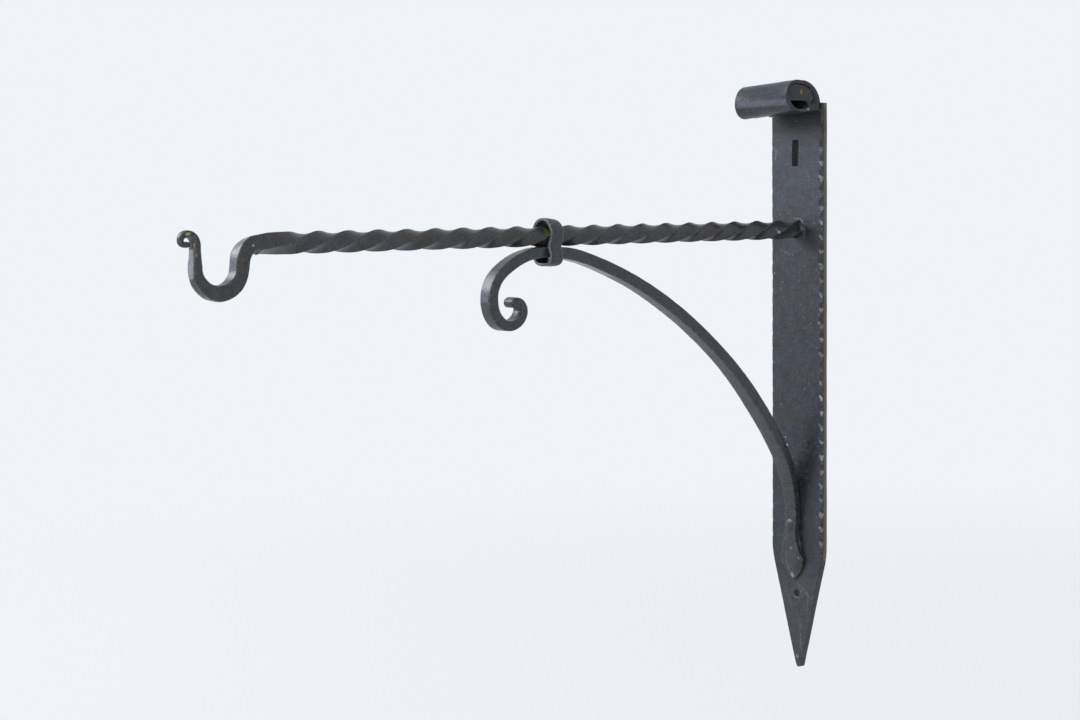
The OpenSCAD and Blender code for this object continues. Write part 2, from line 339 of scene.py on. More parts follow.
def leaned(made: bpy.types.Object, height: float, degrees: float) -> None:
    """Turns a piece about +Y, round the point of its middle line at a height in millimetres."""
    pivot = Matrix.Translation((0, 0, height * MM))
    made.data.transform(pivot @ Matrix.Rotation(math.radians(degrees), 4, "Y") @ pivot.inverted())


def read_rows(items: Any, key: str) -> np.ndarray:
    """Reads three numbers of each item of a mesh.

    Args:
        items: The mesh's points or normals.
        key: Name of the value that is read.

    Returns:
        One row an item.
    """
    flat = np.empty(len(items) * 3)
    items.foreach_get(key, flat)
    return flat.reshape(-1, 3)


def mesh_points(mesh: bpy.types.Mesh) -> np.ndarray:
    """Reads a mesh's points, in millimetres."""
    return read_rows(mesh.vertices, "co") / MM


def mesh_normals(mesh: bpy.types.Mesh) -> np.ndarray:
    """Reads the direction in which the surface faces at each of a mesh's points."""
    return read_rows(mesh.vertex_normals, "vector")


def move_points(mesh: bpy.types.Mesh, points: np.ndarray) -> None:
    """Moves a mesh's points to places given in millimetres."""
    mesh.vertices.foreach_set("co", (points * MM).ravel())
    mesh.update()


def nearest(points: np.ndarray, seeds: np.ndarray) -> np.ndarray:
    """Measures how far each point is from the nearest seed.

    Args:
        points: Points to measure.
        seeds: Points to measure from.

    Returns:
        One distance a point.
    """
    tree = KDTree(len(seeds))
    for number, seed in enumerate(seeds):
        tree.insert(seed, number)
    tree.balance()
    return np.array([tree.find(point)[2] for point in points])


def beyond(start: float, span: float) -> Keep:
    """Gives a share that rises from 0 at a reach to 1 at one span further from the wall."""
    return lambda points: ramp(-points[:, 1] - start, span)


@dataclass(frozen=True)
class Hammering:
    """How uneven a forged surface is: long waves, short waves and the dishes of single blows."""

    seed: int
    wave: float = 0.12
    wave_cell: float = 11.0
    ripple: float = 0.04
    ripple_cell: float = 3.0
    dish: float = 0.1
    dish_spacing: float = 8.0
    dish_share: float = 0.75
    fewest_blows: int = 8

    def strike(self, piece: bpy.types.Object, keep: Keep | None = None) -> None:
        """Moves the piece's surface in and out.

        Args:
            piece: The piece to work.
            keep: Gives the share of the unevenness at each point; everywhere alike if left out.
        """
        mesh = piece.data
        points, normals = mesh_points(mesh), mesh_normals(mesh)
        lift = self.wave * ForgeNoise(self.seed, self.wave_cell).at(points)
        lift += self.ripple * ForgeNoise(self.seed + 1, self.ripple_cell).at(points)
        if self.dish:
            area = sum(face.area for face in mesh.polygons) / MM ** 2
            blows = max(self.fewest_blows, int(area / self.dish_spacing ** 2))
            seeds = points[np.random.default_rng(self.seed + 2).choice(len(points), blows, replace=False)]
            near = nearest(points, seeds) / (self.dish_share * self.dish_spacing)
            lift -= self.dish * np.clip(1 - near ** 2, 0, 1)
        if keep is not None:
            lift *= keep(points)
        move_points(mesh, points + normals * lift[:, None])


def cleaned(mesh: bpy.types.Mesh, weld: float = 0.003, many: int = 12) -> np.ndarray:
    """Welds points that fall together, drops faces without area and splits faces that have many corners.

    Args:
        mesh: The mesh to clean.
        weld: Points nearer than this are joined, in millimetres.
        many: Faces with more corners than this count as flat ends.

    Returns:
        For each point, whether it is a corner of a flat end.
    """
    mesh.validate()
    work = bmesh.new()
    work.from_mesh(mesh)
    on_end = work.verts.layers.int.new("on_end")
    for _ in range(2):
        bmesh.ops.remove_doubles(work, verts=work.verts, dist=weld * MM)
        bmesh.ops.dissolve_degenerate(work, edges=work.edges, dist=weld * MM)
        for face in work.faces:
            if len(face.verts) > many:
                for corner in face.verts:
                    corner[on_end] = 1
        bmesh.ops.triangulate(work, faces=[face for face in work.faces if len(face.verts) > 4])
    ends = np.array([point[on_end] for point in work.verts], dtype=bool)
    work.verts.layers.int.remove(on_end)
    work.to_mesh(mesh)
    work.free()
    return ends


def finish_mesh(piece: bpy.types.Object, wear_reach: float = 0.8, crease: float = 38.0, rub: float = 14.0,
                glint_facets: np.ndarray | None = None, facet_reach: float = 1.5) -> None:
    """Shades a piece smoothly up to its creases and notes where it is rubbed and where a painted glint goes.

    Args:
        piece: The piece to finish.
        wear_reach: Distance over which the wear of an edge fades, in millimetres.
        crease: Angle in degrees beyond which an edge stays sharp.
        rub: Angle in degrees beyond which an outward edge counts as rubbed.
        glint_facets: Points on the upward halves of the scallops, for a painted glint, in millimetres.
        facet_reach: Distance from those points at which a facet ends, in millimetres.
    """
    mesh = piece.data
    ends = cleaned(mesh)
    mesh.shade_smooth()
    mesh.set_sharp_from_angle(angle=math.radians(crease))
    work = bmesh.new()
    work.from_mesh(mesh)
    rubbed = [(edge.verts[0].co + edge.verts[1].co) / (2 * MM) for edge in work.edges
              if len(edge.link_faces) == 2 and edge.calc_face_angle_signed(0.0) > math.radians(rub)]
    work.free()
    points = mesh_points(mesh)
    worn, facets = np.zeros((2, len(points)))
    if rubbed:
        worn = np.exp(-(nearest(points, np.array(rubbed)) / wear_reach) ** 2)
        worn[ends] = 0
    if glint_facets is not None:
        facets = np.clip(facet_reach - nearest(points, glint_facets), 0, 1)
    for name, values in (("worn", worn), ("glint_facets", facets)):
        layer = mesh.attributes.new(name, "FLOAT", "POINT")
        layer.data.foreach_set("value", values.astype(np.float32))


# --------------------------------------------------------------------------------------------------
# Shader maths
# --------------------------------------------------------------------------------------------------


class Link:
    """A shader socket that can be used in Python sums. Each operator adds the node that works it out."""

    def __init__(self, graph: "Graph", socket: bpy.types.NodeSocket) -> None:
        """Wraps a socket of a graph."""
        self.graph = graph
        self.socket = socket

    def maths(self, operation: str, *values: Any) -> "Link":
        """Adds a Math node with its inputs in order, as numbers or links."""
        return self.graph.add("ShaderNodeMath", {"operation": operation}, dict(enumerate(values)))

    def __add__(self, other: Any) -> "Link":
        """Adds."""
        return self.maths("ADD", self, other)

    def __radd__(self, other: Any) -> "Link":
        """Adds, from the right."""
        return self.maths("ADD", other, self)

    def __sub__(self, other: Any) -> "Link":
        """Subtracts."""
        return self.maths("SUBTRACT", self, other)

    def __rsub__(self, other: Any) -> "Link":
        """Subtracts from the other value."""
        return self.maths("SUBTRACT", other, self)

    def __mul__(self, other: Any) -> "Link":
        """Multiplies."""
        return self.maths("MULTIPLY", self, other)

    def __rmul__(self, other: Any) -> "Link":
        """Multiplies, from the right."""
        return self.maths("MULTIPLY", other, self)

    def above(self, low: float, high: float) -> "Link":
        """Rises smoothly from 0 at the low value to 1 at the high one."""
        return self.graph.add("ShaderNodeMapRange", {"interpolation_type": "SMOOTHSTEP", "clamp": True},
                              {"Value": self, "From Min": low, "From Max": high})

    def below(self, low: float, high: float) -> "Link":
        """Falls smoothly from 1 at the low value to 0 at the high one."""
        return 1.0 - self.above(low, high)

    def clamped(self) -> "Link":
        """Keeps the value between 0 and 1."""
        return self.graph.add("ShaderNodeClamp", {}, {"Value": self})

    def most(self, other: Any) -> "Link":
        """Gives the larger of two values."""
        return self.maths("MAXIMUM", self, other)


class Graph:
    """The node tree of a material or of the world."""

    MIX_SHARE, MIX_FIRST, MIX_SECOND, MIX_RESULT = 0, 6, 7, 2

    def __init__(self, owner: bpy.types.Material | bpy.types.World) -> None:
        """Takes over a tree and empties it.

        Args:
            owner: The material or world that has the tree.
        """
        owner.use_nodes = True
        self.tree = owner.node_tree
        self.tree.nodes.clear()

    def add(self, kind: str, settings: dict[str, Any] | None = None, sockets: dict[Any, Any] | None = None,
            result: int | str = 0) -> Link:
        """Adds a node.

        Args:
            kind: Type of the node.
            settings: Its settings, which are made first.
            sockets: Values or links of its sockets, by name or number.
            result: Name or number of the output that is wanted.

        Returns:
            That output.
        """
        node = self.tree.nodes.new(kind)
        for key, value in (settings or {}).items():
            setattr(node, key, value)
        for key, value in (sockets or {}).items():
            if isinstance(value, Link):
                self.tree.links.new(value.socket, node.inputs[key])
            else:
                node.inputs[key].default_value = value
        return Link(self, node.outputs[result])

    def vector(self, operation: str, *values: Any) -> Link:
        """Adds a Vector Math node that gives a vector."""
        return self.add("ShaderNodeVectorMath", {"operation": operation}, dict(enumerate(values)), "Vector")

    def number(self, operation: str, *values: Any) -> Link:
        """Adds a Vector Math node that gives a number."""
        return self.add("ShaderNodeVectorMath", {"operation": operation}, dict(enumerate(values)), "Value")

    def scaled(self, vector: Link, factor: Any) -> Link:
        """Scales a vector by a number."""
        return self.add("ShaderNodeVectorMath", {"operation": "SCALE"}, {0: vector, "Scale": factor})

    def mixed(self, share: Any, first: Any, second: Any) -> Link:
        """Blends two colours.

        Args:
            share: Share of the second colour.
            first: First colour, as a link or three numbers.
            second: Second colour, as a link or three numbers.

        Returns:
            The blend.
        """
        first, second = ((*c, 1.0) if isinstance(c, tuple) else c for c in (first, second))
        sockets = {self.MIX_SHARE: share, self.MIX_FIRST: first, self.MIX_SECOND: second}
        return self.add("ShaderNodeMix", {"data_type": "RGBA"}, sockets, self.MIX_RESULT)

    def noise(self, place: Link, size: float, detail: float = 2.0, roughness: float = 0.5,
              warp: float = 0.0) -> Link:
        """Adds noise.

        Args:
            place: Position in millimetres.
            size: Size of its blotches in millimetres.
            detail: Octaves.
            roughness: Weight of the finer octaves.
            warp: How much it is distorted.

        Returns:
            A value about 0.5.
        """
        return self.add("ShaderNodeTexNoise", {"noise_dimensions": "3D"},
                        {"Vector": place, "Scale": 1.0 / size, "Detail": detail, "Roughness": roughness,
                         "Distortion": warp})

    def output(self, kind: str, shader: Link) -> None:
        """Adds the tree's output node and sends a shader to it."""
        node = self.tree.nodes.new(kind)
        self.tree.links.new(shader.socket, node.inputs["Surface"])

    def shared_output(self, kind: str, share: Link, first: Link, second: Link) -> None:
        """Sends two shaders to the tree's output, where the share is that of the second."""
        self.output(kind, self.add("ShaderNodeMixShader", {}, {0: share, 1: first, 2: second}))


# --------------------------------------------------------------------------------------------------
# Finishes
# --------------------------------------------------------------------------------------------------


class IronTexture:
    """The noises that an iron surface is made of, fixed to its piece and measured in millimetres."""

    def __init__(self, graph: Graph, blotch: float) -> None:
        """Adds the noises to a material.

        Args:
            graph: The material's tree.
            blotch: Size of the largest blotches.
        """
        self.graph = graph
        self.place = graph.scaled(graph.add("ShaderNodeTexCoord", {}, {}, "Object"), 1 / MM)
        drifting = self.moved(37.0, 11.0, -23.0)
        self.blotch = graph.noise(self.place, blotch, detail=3.0, roughness=0.55, warp=0.4)
        self.drift = graph.noise(drifting, 1.7 * blotch, detail=4.0, roughness=0.6, warp=0.6)
        self.mottle = graph.noise(self.place, size=4.2, detail=4.0, roughness=0.62)
        self.grain = graph.noise(self.place, size=1.3, detail=3.0, roughness=0.62)
        self.fine = graph.noise(self.moved(-17.0, 3.0, 41.0), size=2.3, detail=3.0, roughness=0.6)
        self.pits = graph.noise(self.moved(5.0, 71.0, 13.0), size=1.9, detail=3.0, roughness=0.7)
        self.broken = graph.noise(self.place, size=2.6, detail=3.0, roughness=0.6)
        wobble = graph.add("ShaderNodeTexNoise", {"noise_dimensions": "3D"},
                           {"Vector": self.place, "Scale": 0.45, "Detail": 2.0}, "Color")
        middle_grey, strength = (0.5, 0.5, 0.5), 2.4
        bend = graph.scaled(graph.vector("SUBTRACT", wobble, middle_grey), strength)
        self.warped = graph.vector("ADD", self.place, bend)

    def moved(self, *shift: float) -> Link:
        """Gives the place moved by some millimetres, so that a noise differs from its neighbours."""
        return self.graph.vector("ADD", self.place, shift)


@dataclass(frozen=True)
class Fleck:
    """A small spot of another colour on the iron, at a place in millimetres."""

    place: Spot
    radius: float
    colour: Colour
    strength: float = 1.0
    stretch: Spot = (1.0, 1.0, 1.0)
    edge: Pair = (0.45, 1.15)

    def mask(self, look: IronTexture) -> Link:
        """Draws the spot.

        Args:
            look: The surface's noises.

        Returns:
            Its mask.
        """
        graph, (inner, outer) = look.graph, self.edge
        gap = graph.vector("MULTIPLY", graph.vector("SUBTRACT", look.warped, self.place), self.stretch)
        far = graph.number("LENGTH", gap)
        return far.below(inner * self.radius, outer * self.radius) * self.strength


@dataclass(frozen=True)
class ScratchAndGlint:
    """A light line between two places in millimetres, for scraped-off scale and for painted highlights."""

    start: Spot
    end: Spot
    width: float
    strength: float = 0.8
    edge: Pair = (0.2, 0.75)
    breaks: Pair = (0.34, 0.56)

    def mask(self, look: IronTexture) -> Link:
        """Draws the line, broken here and there.

        Args:
            look: The surface's noises.

        Returns:
            Its mask.
        """
        graph, (inner, outer) = look.graph, self.edge
        run = np.array(self.end) - np.array(self.start)
        gap = graph.vector("SUBTRACT", look.warped, self.start)
        share = (graph.number("DOT_PRODUCT", gap, tuple(run)) * float(1 / (run @ run))).clamped()
        foot = graph.scaled(graph.add("ShaderNodeCombineXYZ", {}, dict(enumerate(map(float, run)))), share)
        far = graph.number("LENGTH", graph.vector("SUBTRACT", gap, foot))
        line = far.below(inner * self.width, outer * self.width)
        return line * look.broken.above(*self.breaks) * self.strength


@dataclass(frozen=True)
class Tint:
    """A soft-edged area of another colour, inside a box in millimetres."""

    low: Spot
    high: Spot
    colour: Colour
    strength: float
    fade: float = 1.5
    patchy: float = 0.0
    overlap: float = 0.2

    def mask(self, look: IronTexture) -> Link:
        """Draws the soft box.

        Args:
            look: The surface's noises.

        Returns:
            Its mask.
        """
        graph = look.graph
        middle = tuple((a + b) / 2 for a, b in zip(self.low, self.high))
        half = tuple((b - a) / 2 for a, b in zip(self.low, self.high))
        gap = graph.vector("ABSOLUTE", graph.vector("SUBTRACT", look.warped, middle))
        split = graph.add("ShaderNodeSeparateXYZ", {}, {0: graph.vector("SUBTRACT", gap, half)}).socket.node
        far = reduce(Link.most, [Link(graph, split.outputs[axis]) for axis in "XYZ"])
        return far.below(-self.fade, self.overlap) * self.strength


@dataclass(frozen=True)
class IronFinish:
    """Black forge scale on wrought iron, what handling and weather did to it, and painted light and shade.
    """

    name: str
    slot: str
    scale: Colour = (0.034, 0.037, 0.043)
    bluish: Colour = (0.045, 0.052, 0.070)
    brownish: Colour = (0.036, 0.033, 0.030)
    bare_and_glint: Colour = (0.30, 0.31, 0.35)
    rust: Colour = (0.10, 0.055, 0.022)
    # Colour of the painted glint on the upward-facing halves of the hammer's scallops.
    facet: Colour = (0.29, 0.325, 0.38)
    blotch: float = 16.0
    blue_share: float = 0.55
    blue_edge: Pair = (0.40, 0.64)
    brown_share: float = 0.5
    brown_edge: Pair = (0.44, 0.66)
    mottling: float = 1.5
    speckle: float = 2.6
    darkest: float = 0.25
    fleck_share: float = 0.6
    fleck_edge: Pair = (0.50, 0.64)
    gap_edge: Pair = (0.36, 0.48)
    specks: float = 0.35
    speck_count: float = 0.42
    speck_edge: Pair = (0.12, 0.34)
    speck_chance: Pair = (0.74, 1.0)
    speck_patches: Pair = (0.42, 0.60)
    rust_share: float = 0.25
    rust_pits: Pair = (0.58, 0.70)
    rust_patches: Pair = (0.48, 0.60)
    rust_dulling: float = 0.35
    edge_wear: float = 0.4
    edge_fade: Pair = (0.35, 0.95)
    # Strength of the painted glint on the hammer's scallops.
    facet_glint_share: float = 0.0
    facet_fade: Pair = (0.30, 1.0)
    facet_breaks: Pair = (0.40, 0.58)
    wear_start: float = 0.42
    wear_blur: float = 0.24
    roughness: float = 0.42
    dull_mottle: float = 0.36
    dull_grain: float = 0.30
    bare_polish: float = 0.08
    bare_metal: float = 0.35
    fleck_dulling: float = 0.35
    grain: float = 0.5
    grain_height: float = 0.28
    grain_bump: float = 0.5
    mottle_bump: float = 1.1
    pit_bump: float = 0.35
    pit_edge: Pair = (0.60, 0.74)
    bare_bump: float = 0.15
    gloss: float = 0.40
    flecks: tuple[Fleck, ...] = ()
    scratches_and_glints: tuple[ScratchAndGlint, ...] = ()
    tints: tuple[Tint, ...] = ()

    def scale_colour(self, look: IronTexture) -> Link:
        """Mixes the colours of the forge scale, before any wear.

        Args:
            look: The surface's noises.

        Returns:
            The colour.
        """
        graph = look.graph
        blue = look.blotch.above(*self.blue_edge) * self.blue_share
        brown = look.drift.above(*self.brown_edge) * self.brown_share
        colour = graph.mixed(blue.clamped(), self.scale, self.bluish)
        colour = graph.mixed(brown.clamped(), colour, self.brownish)
        colour = graph.mixed(look.fine.above(*self.fleck_edge) * self.fleck_share, colour, self.bluish)
        colour = graph.mixed(look.fine.below(*self.gap_edge) * self.fleck_share, colour, self.brownish)
        shade = 1.0 + (look.mottle - 0.5) * self.mottling + (look.grain - 0.5) * self.speckle
        return graph.scaled(colour, shade.most(self.darkest))

    def facet_share(self, look: IronTexture) -> Link:
        """Finds the painted glints on the upward-facing halves of the hammer's scallops.

        Args:
            look: The surface's noises.

        Returns:
            Their share.
        """
        glint_facets = look.graph.add("ShaderNodeAttribute", {"attribute_name": "glint_facets"}, {}, "Fac")
        least_broken, least_mottled = 0.20, 0.35
        broken = least_broken + (1 - least_broken) * look.broken.above(*self.facet_breaks)
        mottled = least_mottled + (1 - least_mottled) * look.mottle.above(*self.facet_breaks)
        return (glint_facets.above(*self.facet_fade) * broken * self.facet_glint_share * mottled).clamped()

    def bare_share(self, look: IronTexture) -> Link:
        """Finds where the scale is rubbed or scraped off, in specks, edges and lines, and where painted
        highlights run.

        Args:
            look: The surface's noises.

        Returns:
            Its share.
        """
        graph = look.graph
        specks = graph.add("ShaderNodeTexVoronoi", {"feature": "F1"},
                           {"Vector": look.place, "Scale": self.speck_count})
        cell_colour = Link(graph, specks.socket.node.outputs["Color"])
        chosen = graph.add("ShaderNodeSeparateColor", {}, {0: cell_colour}).above(*self.speck_chance)
        patches = look.mottle.above(*self.speck_patches)
        dots = specks.below(*self.speck_edge) * chosen * patches * self.specks
        worn = graph.add("ShaderNodeAttribute", {"attribute_name": "worn"}, {}, "Fac")
        patches = look.broken.above(self.wear_start, self.wear_start + self.wear_blur)
        rubbed = worn.above(*self.edge_fade) * patches * self.edge_wear
        lines = [marked_line.mask(look) for marked_line in self.scratches_and_glints]
        return reduce(Link.most, lines, dots.most(rubbed))

    def tinted(self, look: IronTexture, colour: Link) -> Link:
        """Lays the tints over a colour.

        Args:
            look: The surface's noises.
            colour: The colour below them.

        Returns:
            The new colour.
        """
        level, contrast = 0.55, 0.9
        patches = (level + contrast * (look.mottle - 0.5) + contrast * (look.broken - 0.5)) * 2
        for tint in self.tints:
            mask = tint.mask(look) * (1.0 - tint.patchy + tint.patchy * patches)
            colour = look.graph.mixed(mask.clamped(), colour, tint.colour)
        return colour

    def material(self) -> bpy.types.Material:
        """Builds the material.

        Returns:
            The finished material.
        """
        made = bpy.data.materials.new(self.name)
        graph = Graph(made)
        look = IronTexture(graph, self.blotch)
        rusty = look.pits.above(*self.rust_pits) * look.drift.above(*self.rust_patches) * self.rust_share
        rusty = rusty.clamped()
        light = self.bare_share(look)
        colour = graph.mixed(rusty, self.scale_colour(look), self.rust)
        colour = graph.mixed(self.facet_share(look), colour, self.facet)
        colour = graph.mixed(light.clamped(), self.tinted(look, colour), self.bare_and_glint)

        uneven = (look.mottle - 0.5) * self.dull_mottle + (look.grain - 0.5) * self.dull_grain
        dull = self.roughness + uneven + rusty * self.rust_dulling - light * self.bare_polish
        metal = (light * self.bare_metal).clamped()
        # Flecks are real marks, painted highlights and painted shade alike.
        fleck_masks = [fleck.mask(look) for fleck in self.flecks]
        for mask, fleck in zip(fleck_masks, self.flecks):
            colour = graph.mixed(mask, colour, fleck.colour)
        if fleck_masks:
            any_fleck = reduce(Link.most, fleck_masks)
            dull, metal = dull + any_fleck * self.fleck_dulling, metal * (1.0 - any_fleck)
        height = (look.grain - 0.5) * self.grain_bump + (look.mottle - 0.5) * self.mottle_bump
        height = height - look.pits.above(*self.pit_edge) * self.pit_bump - light * self.bare_bump
        bump = graph.add("ShaderNodeBump", {}, {
            "Strength": self.grain, "Distance": self.grain_height * MM, "Height": height})
        graph.output("ShaderNodeOutputMaterial", graph.add("ShaderNodeBsdfPrincipled", {}, {
            "Base Color": colour, "Roughness": dull.clamped(), "Metallic": metal,
            "Specular IOR Level": self.gloss, "Normal": bump}))
        return made


# --------------------------------------------------------------------------------------------------
# The bracket's pieces
# --------------------------------------------------------------------------------------------------


@dataclass
class Piece:
    """What every piece of the bracket shares: its frame node, its name and its finish."""

    node: str
    name: str
    finish: IronFinish

    def forge(self) -> bpy.types.Object:
        """Builds the piece's mesh and returns its object; each piece has its own way."""
        raise NotImplementedError

    def build(self) -> bpy.types.Object:
        """Builds and dresses the piece and ties it to the frame.

        Returns:
            The finished piece.
        """
        made = self.forge()
        made.data.materials.clear()
        made.data.materials.append(self.finish.material())
        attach(made, BODY)
        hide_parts(self.node)
        points, (low, high) = mesh_points(made.data), cad_box(self.node)
        LOG.info("%s: %d faces, stands out by %s and %s mm", self.name, len(made.data.polygons),
                 np.round(low - points.min(0), 2), np.round(points.max(0) - high, 2))
        return made


def arc(middle: Point, radius: float, start: float, end: float, step: float = 0.9) -> np.ndarray:
    """Draws an arc in the side view.

    Args:
        middle: Its centre.
        radius: Its radius.
        start: Angle of its start in degrees.
        end: Angle of its end in degrees.
        step: Largest distance between two points.

    Returns:
        Its points.
    """
    count = max(3, math.ceil(radius * abs(math.radians(end - start)) / step))
    angles = np.radians(np.linspace(start, end, count + 1))
    return np.array(middle) + radius * np.stack([np.cos(angles), np.sin(angles)], axis=-1)


def filled_in(outline: np.ndarray, step: float = 0.9) -> np.ndarray:
    """Adds points to a closed outline until no edge is longer than a step.

    Args:
        outline: The outline's points.
        step: Largest distance between two points.

    Returns:
        The denser outline.
    """
    dense = []
    for here, there in zip(outline, np.roll(outline, -1, axis=0)):
        gap = np.linalg.norm(there - here)
        if gap > 1e-6:
            count = max(1, math.ceil(gap / step))
            dense += [here + (there - here) * k / count for k in range(count)]
    return np.array(dense)


def to_left(outline: np.ndarray) -> np.ndarray:
    """Gives the direction to the left of a closed outline at each of its points.

    Args:
        outline: The outline's points.

    Returns:
        One direction a point.
    """
    ahead = np.roll(outline, -1, axis=0) - np.roll(outline, 1, axis=0)
    ahead /= np.linalg.norm(ahead, axis=1)[:, None]
    return np.stack([-ahead[:, 1], ahead[:, 0]], axis=-1)


def shrunk(outline: np.ndarray, depth: float) -> np.ndarray:
    """Moves a closed outline inward.

    Args:
        outline: The outline's points.
        depth: How far it moves.

    Returns:
        The smaller outline.
    """
    x, y = outline.T
    turning = np.sign(np.sum(x * np.roll(y, -1) - np.roll(x, -1) * y))
    return outline + depth * turning * to_left(outline)


@dataclass
class WallPlate(Piece):
    """The flat bar on the wall, with its point, its nail holes and the roll at its top."""

    width: float = 60.0
    thickness: float = PLATE_THICKNESS
    shoulder: float = 108.0
    shoulder_rim: float = 0.5
    point_start: float = -283.0
    tip_shift: float = 0.9
    tip_radius: float = 2.2
    tip_thinning: float = 1.1
    blend_radius: float = 60.0
    edge_corner: float = 0.2
    row_pitch: float = 0.9
    mark_pitch: float = 12.6
    mark_radius: float = 8.0
    mark_depths: Pair = (0.5, 1.5)
    mark_lean: float = 26.0
    mark_slant: float = 25.0
    mark_seed: int = 5
    first_mark: float = 37.0
    slot_size: Pair = (8.0, 23.0)
    slot_place: Point = (-1.7, 66.0)
    slot_corner: float = 1.1
    slot_lean: float = 2.0
    slot_draft: float = 1.9
    hole_size: float = 6.5
    hole_height: float = -317.5
    tenon_hole: float = 8.6
    rivet_hole: float = 6.6
    countersink: float = 1.9
    roll_back: Spot = (26.8, 105.0, 21.0)
    roll_front: Spot = (32.8, 112.2, 14.0)
    roll_tuck: Spot = (21.4, 103.0, 4.1)
    roll_hollow: Spot = (31.2, 112.6, 12.2)
    tuck_inside: float = 1.9
    roll_ends: Pair = (-34.4, 27.6)
    roll_droop: float = 2.6
    coil_ends: Pair = (-33.9, 26.9)
    coil_floor: float = 107.6
    seam_gap: float = 0.32
    seam_depths: tuple[Pair, ...] = (
        (0, 5.6), (0.12, 5.0), (0.35, 4.2), (0.55, 3.4), (0.72, 2.3), (0.88, 2.0), (1, 3.0))
    bar_blows: Hammering = Hammering(11, wave=0.13, wave_cell=17.0, ripple=0.045, ripple_cell=4.0, dish=0.10,
                                     dish_spacing=13.0)
    roll_blows: Hammering = Hammering(23, wave=0.16, wave_cell=13.0, ripple=0.06, ripple_cell=3.2, dish=0.12,
                                      dish_spacing=9.0)
    glint_facets: list[np.ndarray] = field(default_factory=list)

    def side_line(self, side: int) -> np.ndarray:
        """Traces one side of the plate from the tip up to the shoulder.

        Args:
            side: 1 for the right and -1 for the left.

        Returns:
            Rows of height and distance from the plate's middle.
        """
        tip_low = cad_box(self.node)[0][2]
        tip = np.array([side * self.tip_shift, tip_low + self.tip_radius])
        gap = tip - np.array([self.width / 2, self.point_start])
        lean = math.degrees(math.atan(-gap[0] / -gap[1]) - math.asin(self.tip_radius / np.linalg.norm(gap)))
        turn = (self.width / 2 - self.blend_radius,
                self.point_start + self.blend_radius * math.tan(math.radians(lean / 2)))
        line = np.concatenate([[[self.width / 2, self.shoulder]], arc(turn, self.blend_radius, 0, -lean),
                               arc(tuple(tip), self.tip_radius, -lean, -90, 0.15)])
        return line[::-1, ::-1]

    def bar_ring(self, height: float, middle: float, half: float, above_tip: float) -> list[Spot]:
        """Draws a level section of the flat bar, with its points closest together near the front edges.

        Args:
            height: Height of the section.
            middle: Its middle across the plate.
            half: Half its width.
            above_tip: Its height above the tip.

        Returns:
            Its points.
        """
        full, dense_edge, back_edge, tip_fade, full_corner = self.width / 2, 9.0, 2.2, 5.0, 6.0
        near = np.array([0.7, 1.1, 1.6, 2.2, 2.8, 3.5, 4.4, 5.6, 7.2])
        flank = np.array([0.7, 1.2, 1.8, 2.5, 3.3, 4.2, 5.2, 6.3])
        inner = np.linspace(-full + dense_edge, full - dense_edge, 27)
        front = np.concatenate([-full + near, inner, (full - near)[::-1]]) / full
        inner = np.linspace(-full + back_edge, full - back_edge, 25)
        back = np.concatenate([[-full + 0.5], inner, [full - 0.5]]) / full
        top = min(1.0, max(0.0, (height - (self.shoulder - self.shoulder_rim)) / self.shoulder_rim))
        side_inset, front_inset, back_inset = 0.35 * top, 0.25 * top, 0.12 * top
        depth = self.thickness - self.tip_thinning * math.exp(-above_tip / tip_fade)
        soft = self.edge_corner * min(1.0, half / full_corner)
        wide = half - side_inset
        points = [(middle + share * wide, -depth + front_inset) for share in front]
        points += [(middle + wide - soft, -depth + soft + front_inset)]
        points += [(middle + wide, -depth + step * depth / self.thickness) for step in flank]
        points += [(middle + share * wide, -back_inset) for share in back[::-1]]
        points += [(middle - wide, -depth + step * depth / self.thickness) for step in flank[::-1]]
        points += [(middle - wide + soft, -depth + soft + front_inset)]
        return [(x, y, height) for x, y in points]

    def flat_bar(self) -> bpy.types.Object:
        """Builds the flat bar with its hammered edges.

        Returns:
            The bar.
        """
        right, left = self.side_line(1), self.side_line(-1)
        tip_low, even_from, calm_span, calmest = right[0, 0], 3.0, 8, 0.1
        tip_rows = tip_low + np.array([0.03, 0.1, 0.2, 0.35, 0.55, 0.8, 1.1, 1.5, 2.0, 2.5])
        rows = np.arange(tip_low + even_from, self.shoulder - self.shoulder_rim, self.row_pitch)
        rim_rows = self.shoulder - np.array([self.shoulder_rim, 0.2, 0.0])
        heights = np.unique(np.concatenate([tip_rows, rows, rim_rows]))
        right_x = np.interp(heights, right[:, 0], right[:, 1])
        left_x = -np.interp(heights, left[:, 0], left[:, 1])
        levels = zip(heights, (right_x + left_x) / 2, (right_x - left_x) / 2, heights - tip_low)
        rings = self.hammered(np.array([self.bar_ring(*level) for level in levels]))
        made = swept(self.name, rings)
        self.bar_blows.strike(made, lambda points: np.clip((points[:, 2] - tip_low) / calm_span, calmest, 1))
        return made

